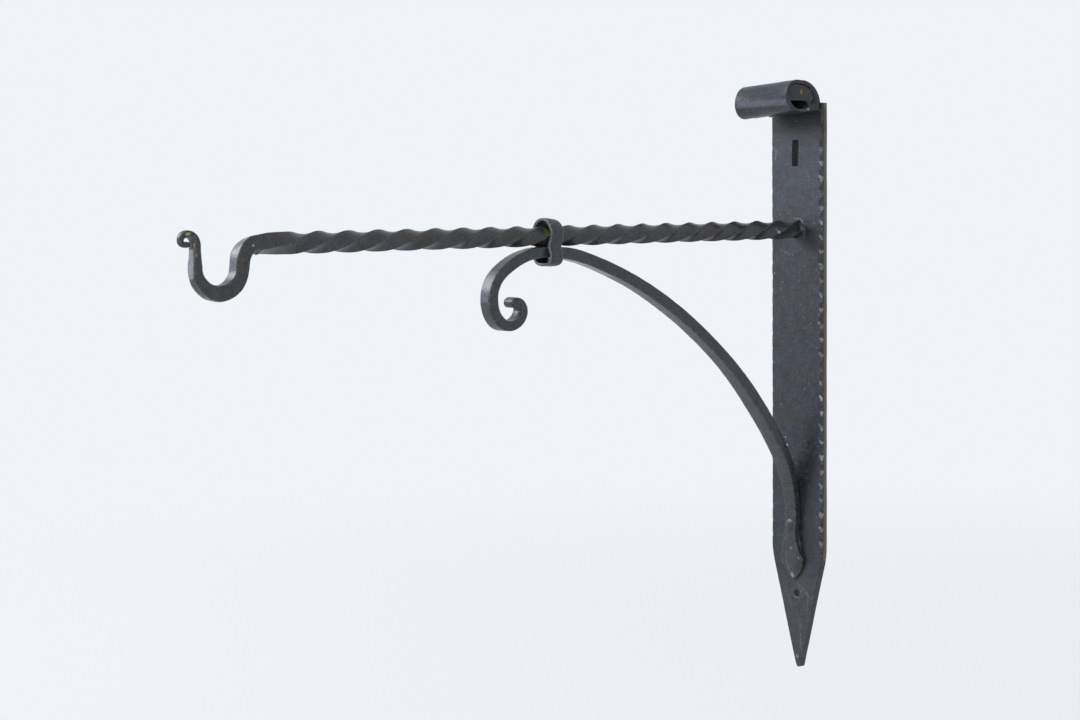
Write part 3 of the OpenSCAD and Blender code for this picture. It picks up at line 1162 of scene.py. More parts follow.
    def hammered(self, rings: np.ndarray) -> np.ndarray:
        """Presses the hammer's scallops into both front edges and keeps points for their painted glint.

        Args:
            rings: The bar's sections.

        Returns:
            The sections with the scallops.
        """
        lean, slant = math.radians(self.mark_lean), math.radians(self.mark_slant)
        facet_edge, facet_front = -0.15 * self.mark_radius, -4.5
        depth_range, tilt_spread, pitch_spread = (0.75, 1.25), 0.12, 0.5
        draw = np.random.default_rng(self.mark_seed)
        points = rings.reshape(-1, 3)
        for side, depth in zip((-1, 1), self.mark_depths):
            outward = np.array([side * math.sin(lean), -math.cos(lean), 0])
            height = self.shoulder - self.first_mark
            while height > self.point_start + self.mark_pitch / 2:
                cut = depth * draw.uniform(*depth_range)
                tilt = slant + draw.uniform(-tilt_spread, tilt_spread)
                axis = np.array([math.cos(tilt) * math.cos(lean), side * math.cos(tilt) * math.sin(lean),
                                 -math.sin(tilt)])
                place = np.array([side * self.width / 2, -self.thickness, height])
                place += outward * (self.mark_radius - cut)
                gap = points - place
                along = gap @ axis
                radial = gap - along[:, None] * axis
                far = np.linalg.norm(radial, axis=1)
                hit = (far < self.mark_radius) & (np.abs(along) < 2 * self.mark_radius)
                points[hit] += radial[hit] * (self.mark_radius / far[hit] - 1)[:, None]
                # Upward halves of right-hand scallops get a painted glint for the light they reflect.
                if side > 0:
                    upward = (radial[:, 2] < facet_edge) & (points[:, 1] < facet_front)
                    self.glint_facets.append(points[hit & upward])
                height -= self.mark_pitch + draw.uniform(-pitch_spread, pitch_spread)
        return points.reshape(rings.shape)

    def roll(self) -> bpy.types.Object:
        """Builds the rolled end: an outer layer, and the coil pressed inside it along an open seam.

        Returns:
            The rolled end.
        """
        back, front, tuck, hollow = self.roll_back, self.roll_front, self.roll_tuck, self.roll_hollow
        shoulder, face, floor, crest = self.shoulder, self.thickness, self.coil_floor, 97
        over = np.concatenate([arc(back[:2], back[2], 170, crest), arc(front[:2], front[2], crest, -16)])
        ahead = np.gradient(over, axis=0)
        ahead /= np.linalg.norm(ahead, axis=1)[:, None]
        inward = np.stack([ahead[:, 1], -ahead[:, 0]], axis=-1)
        depth = np.interp(np.linspace(0, 1, len(over)), *zip(*self.seam_depths))
        seam = over + inward * depth[:, None]
        inner = over + inward * (depth + self.seam_gap)[:, None]
        keep = seam[:, 1] > floor + 0.6
        seam, inner = seam[keep], inner[keep]

        skin = np.concatenate([arc(back[:2], back[2], 180, crest), arc(front[:2], front[2], crest, -110),
                               arc(tuck[:2], tuck[2], -100, -180, 0.5)])
        inside = np.concatenate([arc((tuck[0] + 0.5, tuck[1] + 0.2), self.tuck_inside, -190, -100, 0.4),
                                 arc(hollow[:2], hollow[2], -105, -24)])
        into_plate = [[10.9, 106.6], [9.6, 104.0], [8.4, 102.0], [face - 0.6, shoulder - 8.2],
                      [face - 3, shoulder - 8.2], [face - 3, back[1]]]
        coil_root = [[17.6, 102.6], [17.7, 105.0], [16.9, 107.4], [14.6, 109.4]]
        coil_under = [[inner[-1][0] - 0.6, floor + 0.1], [40.5, floor - 0.1], [30, floor + 0.3],
                      [24, floor + 0.1], [21.6, floor - 0.9], [20.2, 105.6], [19.9, 102.8]]
        made = self.layer("roll_wrap", [skin, inside, seam[::-1], into_plate], self.roll_ends)
        combine(made, self.layer("roll_coil", [coil_root, inner, coil_under], self.coil_ends), Joining.ADD)
        self.settle(made)
        leaned(made, shoulder, -self.roll_droop)
        return made

    def settle(self, made: bpy.types.Object) -> None:
        """Presses the roll's crown a little flatter and lets the lip of its left end hang.

        Args:
            made: The rolled end.
        """
        flattening, hanging, leaning, crown_span = 0.8, 0.7, 3.6, 18
        lip_top, lip_height, lip_ease = 10, 19, 1.3
        front_start, front_span, left_start, left_span = 12, 20, 15, 18
        points = mesh_points(made.data)
        across, reach, height = points[:, 0], -points[:, 1], points[:, 2]
        high = ramp(height - self.shoulder, crown_span)
        low = ramp(self.shoulder + lip_top - height, lip_height) ** lip_ease
        lip = low * ramp(reach - front_start, front_span) * ramp(-left_start - across, left_span)
        points[:, 2] -= flattening * high + hanging * lip
        points[:, 0] -= leaning * lip
        move_points(made.data, points)

    def layer(self, name: str, stretches: Sequence[Any], ends: Pair) -> bpy.types.Object:
        """Runs a side outline through the length of the roll, with rounded rims.

        Args:
            name: Name of the object.
            stretches: The stretches of its outline, as reach and height.
            ends: Where it starts and ends across the plate.

        Returns:
            The layer.
        """
        outline = filled_in(np.concatenate(stretches))
        rims = [(0.0, 0.4), (0.12, 0.2), (0.35, 0.06), (0.7, 0.0)]
        (low, high), margin, calm_below, calm_span = ends, 2, 97, 5
        cuts = [(low + step, depth) for step, depth in rims]
        cuts += [(place, 0.0) for place in np.linspace(low + margin, high - margin, 40)]
        cuts += [(high - step, depth) for step, depth in rims[::-1]]
        rings = []
        for place, depth in cuts:
            shape = shrunk(outline, depth) if depth else outline
            rings.append(np.stack([np.full(len(shape), place), -shape[:, 0], shape[:, 1]], axis=-1))
        made = swept(name, np.array(rings))
        self.roll_blows.strike(made, lambda points: ramp(points[:, 2] - calm_below, calm_span) * ramp(
            np.minimum(points[:, 0] - low, high - points[:, 0]), margin))
        return made

    def drill(self, radius: float, place: Point, flare: float = 0.0) -> bpy.types.Object:
        """Makes the tool that cuts a round hole.

        Args:
            radius: Radius of the hole.
            place: Its place across and up.
            flare: How much wider it is at the wall.

        Returns:
            The tool.
        """
        past, unevenness, wave_circle = 3.0, 0.12, 5
        draw = np.random.default_rng(int(100 * radius))
        angles = round_angles(48)
        round_it = np.stack([np.cos(angles) * wave_circle, np.sin(angles) * wave_circle, angles * 0], -1)
        bumps = unevenness * ForgeNoise(31, 2.0).at(round_it)
        rows = [(-past, flare), (0.0, flare), (0.9, 0.5 * flare), (2.0, 0.0), (3.5, 0.0), (5.0, 0.0),
                (6.0, 0.0), (self.thickness + past, draw.uniform(0, 0.1))]
        rings = lathed(place, [(reach, radius + more + bumps) for reach, more in rows], angles)
        return swept("drill", rings)

    def slot_punch(self) -> bpy.types.Object:
        """Makes the tool that cuts the nail slot, with soft corners and slightly wavy sides.

        Returns:
            The tool.
        """
        past, waviness, lean = 3.0, 0.14, math.radians(self.slot_lean)
        (wide, tall), (across, height) = self.slot_size, self.slot_place
        outline = bar_sections(np.array([wide]), np.array([tall]), self.slot_corner, sides=10, rounds=4)[0]
        waves = ForgeNoise(41, 3.5).at(np.column_stack([outline, outline[:, 0]]))
        wavy = outline + waviness * waves[:, None]
        x = wavy[:, 0] * math.cos(lean) + wavy[:, 1] * math.sin(lean) + across
        z = wavy[:, 1] * math.cos(lean) - wavy[:, 0] * math.sin(lean) + height
        draft = self.slot_draft * (x < across)
        rows = [(-past, 1.0), (0.0, 1.0), (0.9, 0.9), (3.4, 0.5), (5.9, 0.1), (self.thickness, 0.0),
                (self.thickness + past, 0.0)]
        rings = [np.stack([x + draft * share, np.full(len(x), -reach), z], -1) for reach, share in rows]
        return swept("slot_punch", np.array(rings))

    def forge(self) -> bpy.types.Object:
        """Builds the plate, adds its roll and cuts its holes.

        Returns:
            The plate.
        """
        made = self.flat_bar()
        combine(made, self.roll(), Joining.ADD)
        combine(made, self.slot_punch(), Joining.CUT)
        for size, place, flare in ((self.hole_size, (0.0, self.hole_height), 0.0),
                                   (self.tenon_hole, (0.0, 0.0), self.countersink),
                                   (self.rivet_hole, node_middle("foot_rivet"), self.countersink)):
            combine(made, self.drill(size / 2, place, flare), Joining.CUT)
        finish_mesh(made, glint_facets=np.concatenate(self.glint_facets))
        return made


@dataclass
class TwistedArm(Piece):
    """The square bar: its tenon, its twisted length and the hook with its curled tip."""

    side: float = 12.0
    root: float = PLATE_THICKNESS
    length: float = 546.0
    droop: float = 0.85
    quarter_turn: float = 26.15
    untwist: float = 27.0
    last_turn: float = 12.0
    corner: float = 0.85
    crowning: float = 0.15
    fullness: float = 0.25
    tenon: float = 8.0
    root_rounding: float = 2.2
    root_span: float = 4.5
    bend_corners: Pair = (1.0, 1.25)
    mushroom_length: float = 2.6
    lump_place: Spot = (1.5, -552.0, -15.0)
    lump_radius: float = 3.9
    lump_height: float = 1.9
    bar_blows: Hammering = Hammering(51, wave=0.10, wave_cell=12.0, ripple=0.05, ripple_cell=3.4, dish=0.09)
    hook_blows: Hammering = Hammering(61, wave=0.12, wave_cell=8.0, ripple=0.0, dish=0.42, dish_spacing=9.0)
    legs: tuple[Leg, ...] = (
        Leg(13, -42, 11.0, 11.9), Leg(14, -42, 10.8, 11.7), Leg(6.2, 0, 10.8, 11.6),
        Leg(18, 84, 11.9, 11.2), Leg(17.3, 90, 7.2, 9.9), Leg(17.5, 0, 6.0, 8.5),
        Leg(6.9, -90, 5.4, 6.8), Leg(4.6, -90, 4.4, 4.8), Leg(2.8, -90, 4.7, 4.6), Leg(4.6, 0, 4.8, 4.4))

    def twist(self, reach: np.ndarray) -> np.ndarray:
        """Gives the turn of the bar's section; 45 degrees puts a corner on top.

        Args:
            reach: Distances from the wall.

        Returns:
            The turn at each, in degrees.
        """
        end = self.root + self.length
        peak = end - self.untwist
        fading = self.last_turn + (45 - self.last_turn) * (end - reach) / self.untwist
        return np.where(reach > peak, fading, 45 + 90 * (peak - reach) / self.quarter_turn)

    def forge(self) -> bpy.types.Object:
        """Sweeps the bar from the tenon's tail to the tip of the curl.

        Returns:
            The arm.
        """
        end = self.root + self.length
        fall = math.tan(math.radians(self.droop))
        reach = np.linspace(self.root, end, 560)
        straight = np.stack([reach, -fall * (reach - self.root), np.zeros_like(reach),
                             np.full_like(reach, self.side), np.full_like(reach, self.side)], axis=-1)
        start = (end, straight[-1, 1])
        bend = Centreline(start, 0, self.side, self.side, 0.7).run(self.legs).stations()[1:]
        lead, untwist_rows = 40, 22
        for column in (3, 4):
            joined = softened(np.concatenate([straight[-lead:, column], bend[:, column]]), 6)
            bend[:, column] = joined[lead:]
        turns = np.concatenate([self.twist(reach),
                                self.last_turn * np.clip(1 - np.arange(len(bend)) / untwist_rows, 0, 1)])
        stations = np.concatenate([straight, bend])
        rounding = np.concatenate([
            self.corner + self.root_rounding * np.clip(1 - (reach - self.root) / self.root_span, 0, 1),
            np.linspace(*self.bend_corners, len(bend))])
        sections = bar_sections(stations[:, 4] + self.fullness, stations[:, 3] + self.fullness, rounding,
                                (self.crowning,) * 4)
        closing = np.array([0.99, 0.96, 0.90, 0.80, 0.60])
        sections[-len(closing):] *= closing[:, None, None]
        self.mushroom(sections, reach)
        bar = placed(stations, sections, np.radians(turns))
        made = swept(self.name, np.concatenate([self.tenon_rings(sections[0], turns[0]), bar]))
        self.bar_blows.strike(made, beyond(self.root, 3))
        self.hook_blows.strike(made, beyond(end - 8, 10))
        self.swage_lump(made)
        finish_mesh(made, rub=12.0)
        return made

    def mushroom(self, sections: np.ndarray, reach: np.ndarray) -> None:
        """Spreads the bar's shoulder where it was driven against the plate.

        Args:
            sections: Sections of the bar, changed in place.
            reach: Distance of the straight sections from the wall.
        """
        seen_side, unseen_share = math.radians(15), 0.35
        half, least, most, falling = 6, 0.04, 0.34, 0.11
        for number, here in enumerate(reach):
            share = 1 - (here - self.root) / self.mushroom_length
            if share <= 0:
                break
            x, y = sections[number].T
            angle = np.arctan2(y, x) + math.radians(self.twist(here))
            facing = unseen_share + (1 - unseen_share) * np.clip(np.cos(angle - seen_side), 0, 1)
            far = np.linalg.norm(sections[number], axis=1)
            swelling = np.clip(most - falling * (far - half), least, most)
            sections[number] *= (1 + share ** 1.5 * facing * swelling)[:, None]

    def tenon_rings(self, section: np.ndarray, turn: float) -> np.ndarray:
        """Draws the tenon that goes through the plate, with its peened tail at the wall.

        Args:
            section: The bar's first section.
            turn: Its turn in degrees.

        Returns:
            Rings from the wall to the bar.
        """
        angles = np.arctan2(section[:, 1], section[:, 0]) + math.radians(turn)
        radius, just_short = self.tenon / 2, 0.02
        tail = [(0.0, 0.6), (0.0, 1.3), (0.25, 1.75), (0.8, 1.1), (2.0, 0.0), (4.5, 0.0)]
        rows = [(reach, radius + more) for reach, more in tail] + [(self.root - just_short, radius)]
        return lathed((0.0, 0.0), rows, angles)

    def swage_lump(self, made: bpy.types.Object) -> None:
        """Raises the small lump left under the bar just before it bends down.

        Args:
            made: The arm.
        """
        across_share = (0.5, 1, 1)
        points = mesh_points(made.data)
        far = np.linalg.norm((points - np.array(self.lump_place)) * across_share, axis=1)
        points[:, 2] -= self.lump_height * np.clip(1 - (far / self.lump_radius) ** 2, 0, 1) ** 2
        move_points(made.data, points)


@dataclass
class ScrolledBrace(Piece):
    """The flat bar below the arm: its leaf on the plate, its bow and its scroll with a snub end."""

    width: float = 12.6
    foot: float = FOOT_THICKNESS
    plate: float = PLATE_THICKNESS
    crown: Point = (291.0, -16.92)
    foot_height: float = -251.6
    lean: float = 0.45
    leaf_length: float = 54.0
    leaf_width: float = 28.0
    leaf_tip: float = 2.4
    leaf_widest: float = 0.64
    leaf_shift: float = 1.5
    leaf_roundness: float = 0.78
    leaf_corners: Pair = (1.2, 0.9)
    flat_length: float = 12.3
    snub: float = 7.8
    snub_sink: float = 0.35
    rivet_hole: float = 6.4
    corner: float = 0.8
    bow: tuple[Spot, ...] = ((109, -31.6, 6.4), (395, -41.8, 8.3), (144, -16.6, 8.6))
    scroll: tuple[Spot, ...] = (
        (67, -41, 8.6), (26, -76, 8.9), (17.3, -28, 8.8), (14.7, -99, 6.192), (8.6, -116, 3.0))
    upper_swell: tuple[Pair, ...] = (
        (0, 0), (0.03, 0), (0.17, 2.0), (0.28, 2.3), (0.38, 2.3), (0.48, 1.7), (0.60, 1.45), (0.70, 1.6),
        (0.93, 1.3), (1, 0))
    lower_swell: tuple[Pair, ...] = (
        (0.22, 0), (0.30, 0.3), (0.42, 0.1), (0.52, 0.6), (0.64, 0.6), (0.76, 0))
    side_swell: tuple[Pair, ...] = (
        (0.0, 0), (0.03, 0.1), (0.15, 1.5), (0.34, 1.5), (0.42, 0.8), (0.50, 0.4), (0.65, 0.4), (0.78, 0))
    bar_blows: Hammering = Hammering(71, wave=0.12, wave_cell=14.0, ripple=0.05, ripple_cell=3.6, dish=0.12,
                                     dish_spacing=9.0)
    leaf_blows: Hammering = Hammering(83, wave=0.32, wave_cell=8.0, ripple=0.08, dish=0.6, dish_spacing=9.0)

    def leaf_stations(self) -> tuple[np.ndarray, np.ndarray]:
        """Lays out the leaf from its tip up to the bar.

        Returns:
            Its stations, and how far each is moved across the plate.
        """
        tip_rows = [0.9995, 0.997, 0.993, 0.985, 0.975, 0.96]
        bar_half, widest = self.width / 2, self.leaf_widest
        share = np.concatenate([tip_rows, np.linspace(0.94, 0.0, 60)[:-1]])
        swelling = bar_half + (self.leaf_width - self.width) / 2 * (share / widest) ** 2.5
        past = np.maximum(share - widest, 0) / (1 - widest)
        closing = self.leaf_width / 2 * np.cos(np.pi / 2 * past) ** self.leaf_roundness
        half = np.where(share < widest, swelling, closing)
        thin = ramp(share * self.leaf_length - self.flat_length, self.leaf_length - self.flat_length)
        thick = self.leaf_tip + (self.foot - self.leaf_tip) * (1 + np.cos(np.pi * thin)) / 2
        rows = np.stack([self.plate + thick / 2, self.foot_height - self.leaf_length * share,
                         np.full(len(share), math.pi / 2), thick, 2 * half], axis=-1)
        return rows, -self.leaf_shift * np.sin(np.pi * share)

    def bar_stations(self) -> np.ndarray:
        """Lays out the bow and the scroll, from the foot to the scroll's end.

        Returns:
            Their stations.
        """
        turned, run = 90.0, 0.0
        for radius, turn, _ in self.bow:
            run += radius * (math.sin(math.radians(turned)) - math.sin(math.radians(turned + turn)))
            turned += turn
        size = (self.crown[0] - self.plate - self.foot / 2) / run
        legs = [Leg(radius * size, turn, thick, self.width) for radius, turn, thick in self.bow]
        legs += [Leg(*leg, self.width) for leg in self.scroll]
        start = (self.plate + self.foot / 2, self.foot_height)
        return Centreline(start, 90, self.foot, self.width, 0.9).run(legs).stations()

    def forge(self) -> bpy.types.Object:
        """Sweeps the bar from the leaf's tip to the scroll and adds the snub end.

        Returns:
            The brace.
        """
        (leaf, shifts), bar = self.leaf_stations(), self.bar_stations()
        stations = np.concatenate([leaf, bar])
        shift = np.concatenate([shifts, np.zeros(len(bar))])
        joint = slice(len(leaf) - 12, None)
        for column in (3, 4):
            stations[joint, column] = softened(stations[joint, column], 5)
        corner = np.full(len(stations), self.corner)
        corner[:len(leaf)] = np.interp(np.arange(len(leaf)), [0, len(leaf)], self.leaf_corners)
        crowns = (0.0, 0.1, 0.1, 0.1)
        sections = bar_sections(stations[:, 4], stations[:, 3], corner, crowns, sides=8)
        bow_count = np.searchsorted(-np.degrees(bar[:, 2]), -1.0)
        self.spread(sections[len(leaf):len(leaf) + bow_count])
        sections[..., 0] += shift[:, None]
        made = swept(self.name, placed(stations, sections))
        off_plate, leaf_top = beyond(self.plate + 0.6, 1.5), -262
        self.bar_blows.strike(made, beyond(self.plate + 0.3, 1.5))
        self.leaf_blows.strike(made, lambda points: off_plate(points) * ramp(leaf_top - points[:, 2], 8))
        end_reach, end_height, _, end_thick, _ = bar[-1]
        middle = (end_reach, end_height - (self.snub / 2 - end_thick / 2 + self.snub_sink))
        combine(made, self.snub_end(middle), Joining.ADD)
        leaned(made, self.crown[1], self.lean)
        combine(made, self.rivet_drill(node_middle("foot_rivet")), Joining.CUT)
        finish_mesh(made)
        return made

    def spread(self, sections: np.ndarray) -> None:
        """Fills out the bow, most of all where the bar starts to spread towards its leaf.

        Args:
            sections: The bow's sections from the foot to the crown, changed in place.
        """
        along, flank = np.linspace(0, 1, len(sections)), 1.0
        upper, lower, aside = (np.interp(along, *zip(*swell))[:, None]
                               for swell in (self.upper_swell, self.lower_swell, self.side_swell))
        sections[..., 1] += np.where(sections[..., 1] > 0, upper, -lower)
        sections[..., 0] += np.sign(sections[..., 0]) * np.minimum(abs(sections[..., 0]), flank) * aside

    def snub_end(self, middle: Point) -> bpy.types.Object:
        """Makes the rolled snub at the scroll's end.

        Args:
            middle: Its reach and height.

        Returns:
            The snub.
        """
        angles, half, radius = round_angles(40), self.width / 2, self.snub / 2
        edge = [(0.0, 0.62), (0.25, 0.86), (0.8, 0.97), (1.8, 1.0)]
        rows = [(step - half, share) for step, share in edge] + [(-2.0, 1.02), (2.0, 1.02)]
        rows += [(half - step, share) for step, share in edge[::-1]]
        rings = [np.stack([np.full(len(angles), across), -middle[0] - radius * share * np.cos(angles),
                           middle[1] + radius * share * np.sin(angles)], -1) for across, share in rows]
        return swept("snub_end", np.array(rings))

    def rivet_drill(self, place: Point) -> bpy.types.Object:
        """Makes the tool that cuts the rivet's hole through the foot.

        Args:
            place: The hole's place across and up.

        Returns:
            The tool.
        """
        reaches = (self.plate - 2, self.plate + 3, self.plate + self.foot + 2)
        rows = [(reach, self.rivet_hole / 2) for reach in reaches]
        return swept("rivet_drill", lathed(place, rows, round_angles(32)))


@dataclass
class WaistedCollar(Piece):
    """The strip bent round the arm and the brace, pinched in between them."""

    reach: float = 285.0
    length: float = 13.2
    strip: float = 2.5
    strip_corner: float = 0.85
    strip_crown: float = 0.25
    arm_height: float = -4.12
    over_half: float = 9.81
    waist_half: float = 6.5
    under_half: float = 8.8
    under_powers: Pair = (0.7, 0.8)
    top: float = 7.28
    over: float = -2.13
    waist: float = -12.02
    under: float = -19.93
    bottom: float = -25.42
    top_sag: float = 1.5
    lining_lift: float = 1.9
    lining_aside: float = 1.1
    seam_drop: float = 1.2
    seam_width: float = 0.45
    seam_depth: float = 0.5
    blows: Hammering = Hammering(91, wave=0.12, wave_cell=8.0, ripple=0.05, ripple_cell=2.6, dish=0.10,
                                 dish_spacing=6.5)

    def half_width(self, height: float) -> float:
        """Finds half the width of the space inside.

        Args:
            height: A height between the middles of the two lobes.

        Returns:
            Half the width there.
        """
        lobe, half = (self.over, self.over_half) if height > self.waist else (self.under, self.under_half)
        share = (1 - math.cos(math.pi * (height - self.waist) / (lobe - self.waist))) / 2
        return self.waist_half + (half - self.waist_half) * share

    def inside(self) -> np.ndarray:
        """Draws the outline of the space inside, clockwise as seen from the front.

        Returns:
            Its points across and up.
        """
        rise, fall = self.top - self.over, self.bottom - self.under
        top = [(self.over_half * math.cos(angle), self.over + rise * math.sin(angle))
               for angle in np.radians(np.linspace(90, 3, 30))]
        side = [(self.half_width(height), height) for height in np.linspace(self.over, self.under, 30)]
        wide, deep = self.under_powers
        low = [(self.under_half * math.cos(angle) ** wide, self.under + fall * math.sin(angle) ** deep)
               for angle in np.radians(np.linspace(3, 90, 26))]
        right = np.array(top + side + low)
        left = right[-2:0:-1] * (-1, 1)
        return np.concatenate([right, left])

    def forge(self) -> bpy.types.Object:
        """Sweeps the strip round its outline.

        Returns:
            The collar.
        """
        line = filled_in(self.inside(), 0.6)
        for _ in range(2):
            line = (np.roll(line, 1, axis=0) + 2 * line + np.roll(line, -1, axis=0)) / 4
        outward = to_left(line)
        middle = line + outward * self.strip / 2
        wide, thick = np.full(len(line), self.length), np.full(len(line), self.strip)
        section = bar_sections(wide, thick, self.strip_corner, (self.strip_crown, 0, 0, 0), sides=12)
        around = middle[:, None, :] + outward[:, None, :] * section[..., 1:2]
        across, height = middle[:, :1], middle[:, 1:]
        along = section[..., 0] / self.length
        lining = np.where(section[..., 1] < 0, np.clip(2 * (along + 0.5) - 1, 0, 1), 0.0)
        sag = self.top_sag * (ramp(height - self.arm_height, 8) * (along + 0.1))
        lift = self.lining_lift * lining * ramp(self.under - height, 3)
        bulge = ramp(abs(height - self.waist), 4) * np.clip(across / 4, -1, 1)
        aside = self.lining_aside * lining * bulge
        rings = np.stack([around[..., 0] - aside, -(self.reach - section[..., 0]),
                          around[..., 1] - sag + lift], axis=-1)
        made = swept(self.name, rings, endless=True)
        self.blows.strike(made)
        self.butt_seam(made)
        finish_mesh(made)
        return made

    def butt_seam(self, made: bpy.types.Object) -> None:
        """Presses in the line where the strip's two ends meet, on the far side.

        Args:
            made: The collar.
        """
        points, normals = mesh_points(made.data), mesh_normals(made.data)
        gap = (points[:, 2] - self.waist + self.seam_drop) / self.seam_width
        near = np.exp(-gap ** 2) * (points[:, 0] < -self.waist_half)
        move_points(made.data, points - normals * (self.seam_depth * near)[:, None])


@dataclass
class DomedRivet(Piece):
    """The rivet that holds the brace's leaf to the plate."""

    shank: float = 6.0
    head: float = 10.6
    dome: float = 1.9
    plate: float = PLATE_THICKNESS
    foot: float = FOOT_THICKNESS
    blows: Hammering = Hammering(97, wave=0.12, wave_cell=3.0, ripple=0.05, ripple_cell=1.4, dish=0.18,
                                 dish_spacing=3.6)

    def forge(self) -> bpy.types.Object:
        """Turns the rivet from its tail at the wall to the top of its dome.

        Returns:
            The rivet.
        """
        seat, radius, head = self.plate + self.foot, self.shank / 2, self.head / 2
        rim = seat + 0.06
        rows = [(0.0, radius + 0.4), (0.0, radius + 1.2), (0.3, radius + 1.7), (0.9, radius + 1.0),
                (2.0, radius), (6.0, radius), (seat, radius), (seat, head - 0.15), (rim, head)]
        rows += [(rim + self.dome * (1 - share * share) ** 0.8, head * share)
                 for share in (0.985, 0.95, 0.9, 0.82, 0.72, 0.6, 0.46, 0.3, 0.15, 0.04)]
        made = swept(self.name, lathed(node_middle(self.node), rows, round_angles(40)))
        self.blows.strike(made, beyond(seat + 0.4, 0.8))
        finish_mesh(made)
        return made


# --------------------------------------------------------------------------------------------------
# Studio
# --------------------------------------------------------------------------------------------------


@dataclass
class Studio:
    """Pale floor, soft light and the camera."""

    backdrop: Colour = (0.871, 0.896, 0.939)
    floor_colour: Colour = (0.965, 0.972, 0.985)
    floor_drop: float = 0.075
    floor_size: float = 40.0
    floor_fade: Pair = (0.6, 2.2)
    sky: Colour = (0.93, 0.96, 1.0)
    sky_strength: float = 0.34
    key_place: Spot = (-1.95, -1.9, 1.45)
    key_size: float = 1.7
    key_power: float = 66.0
    fill_place: Spot = (2.3, -1.7, 1.15)
    fill_size: float = 2.0
    fill_power: float = 21.5
    camera_place: Spot = (1.3209, -1.3638, -0.0040)
    camera_turn: float = 51.0
    camera_pitch: float = -3.282
    camera_roll: float = -0.426
    lens: float = 72.152
    sensor: float = 36.0

    def floor(self) -> None:
        """Lays the floor under the bracket and fades it into the backdrop."""
        size, level, shadow_glow = self.floor_size, CAD_BOX[0].z - self.floor_drop, 0.82
        mesh = bpy.data.meshes.new("floor")
        corners = [(-size, -size), (size, -size), (size, size), (-size, size)]
        mesh.from_pydata([(*corner, level) for corner in corners], [], [(0, 1, 2, 3)])
        made = in_scene("floor", mesh)
        mesh.materials.append(bpy.data.materials.new("pale_floor"))
        graph = Graph(mesh.materials[0])
        far = graph.number("LENGTH", graph.add("ShaderNodeTexCoord", {}, {}, "Object"))
        lit = graph.add("ShaderNodeBsdfDiffuse", {}, {"Color": (*self.floor_colour, 1.0)})
        shown = graph.add("ShaderNodeEmission", {}, {"Color": (*self.backdrop, 1.0), "Strength": 1.0})
        share = self.seen(graph) * (shadow_glow + (1.0 - shadow_glow) * far.above(*self.floor_fade))
        graph.shared_output("ShaderNodeOutputMaterial", share, lit, shown)

    def seen(self, graph: Graph) -> Link:
        """Gives 1 to rays from the camera, gloss or glass, and 0 to those that light the scene."""
        return reduce(Link.most, [graph.add("ShaderNodeLightPath", {}, {}, f"Is {kind} Ray")
                                  for kind in ("Camera", "Glossy", "Transmission")])

    def world(self) -> None:
        """Surrounds the scene with soft light, and shows the backdrop's colour behind it."""
        bpy.context.scene.world = bpy.data.worlds.new("studio")
        graph = Graph(bpy.context.scene.world)
        lit, shown = (graph.add("ShaderNodeBackground", {}, {"Color": (*colour, 1.0), "Strength": strength})
                      for colour, strength in ((self.sky, self.sky_strength), (self.backdrop, 1.0)))
        graph.shared_output("ShaderNodeOutputWorld", self.seen(graph), lit, shown)

    def lamp(self, name: str, place: Spot, size: float, power: float) -> None:
        """Hangs a large soft lamp that faces the bracket.

        Args:
            name: Name of the lamp.
            place: Where it hangs, in metres.
            size: Length of its sides.
            power: Its power in watts.
        """
        light = bpy.data.lights.new(name, "AREA")
        light.shape, light.size, light.energy = "SQUARE", size, power
        lamp = in_scene(name, light)
        low, high = CAD_BOX
        lamp.location = place
        lamp.rotation_mode = "QUATERNION"
        lamp.rotation_quaternion = ((low + high) / 2 - lamp.location).to_track_quat("-Z", "Y")
        lamp.visible_camera = False

    def camera(self) -> None:
        """Sets up the camera in front of the bracket and to the right of it."""
        turn, pitch, roll = map(math.radians, (self.camera_turn, self.camera_pitch, self.camera_roll))
        level, aside, up = (np.array(v) for v in ((-math.sin(turn), math.cos(turn), 0.0),
                                                  (math.cos(turn), math.sin(turn), 0.0), (0.0, 0.0, 1.0)))
        look = math.cos(pitch) * level + math.sin(pitch) * up
        over = math.cos(pitch) * up - math.sin(pitch) * level
        right = math.cos(roll) * aside + math.sin(roll) * over
        top = math.cos(roll) * over - math.sin(roll) * aside
        data = bpy.data.cameras.new("camera")
        data.lens, data.sensor_width = self.lens, self.sensor
        made = in_scene("camera", data)
        turned = np.column_stack([right, top, -look, np.array(self.camera_place)])
        made.matrix_world = Matrix([*turned.tolist(), [0, 0, 0, 1]])
        bpy.context.scene.camera = made

    def build(self) -> None:
        """Sets up everything round the bracket."""
        self.camera()
        self.world()
        self.lamp("key", self.key_place, self.key_size, self.key_power)
        self.lamp("fill", self.fill_place, self.fill_size, self.fill_power)
        self.floor()
        bpy.context.scene.view_settings.view_transform = "Standard"


OCHRE = (0.34, 0.19, 0.04)
YELLOW = (0.46, 0.44, 0.13)
WHITISH = (0.42, 0.43, 0.46)
LILAC = (0.17, 0.18, 0.23)
OLIVE = (0.142, 0.116, 0.080)
RUSTY = (0.145, 0.085, 0.042)
# Near-black for painted shade: in the nail slot, beside the leaf and on the leaf's lower right.
PAINTED_SHADE = (0.012, 0.012, 0.013)

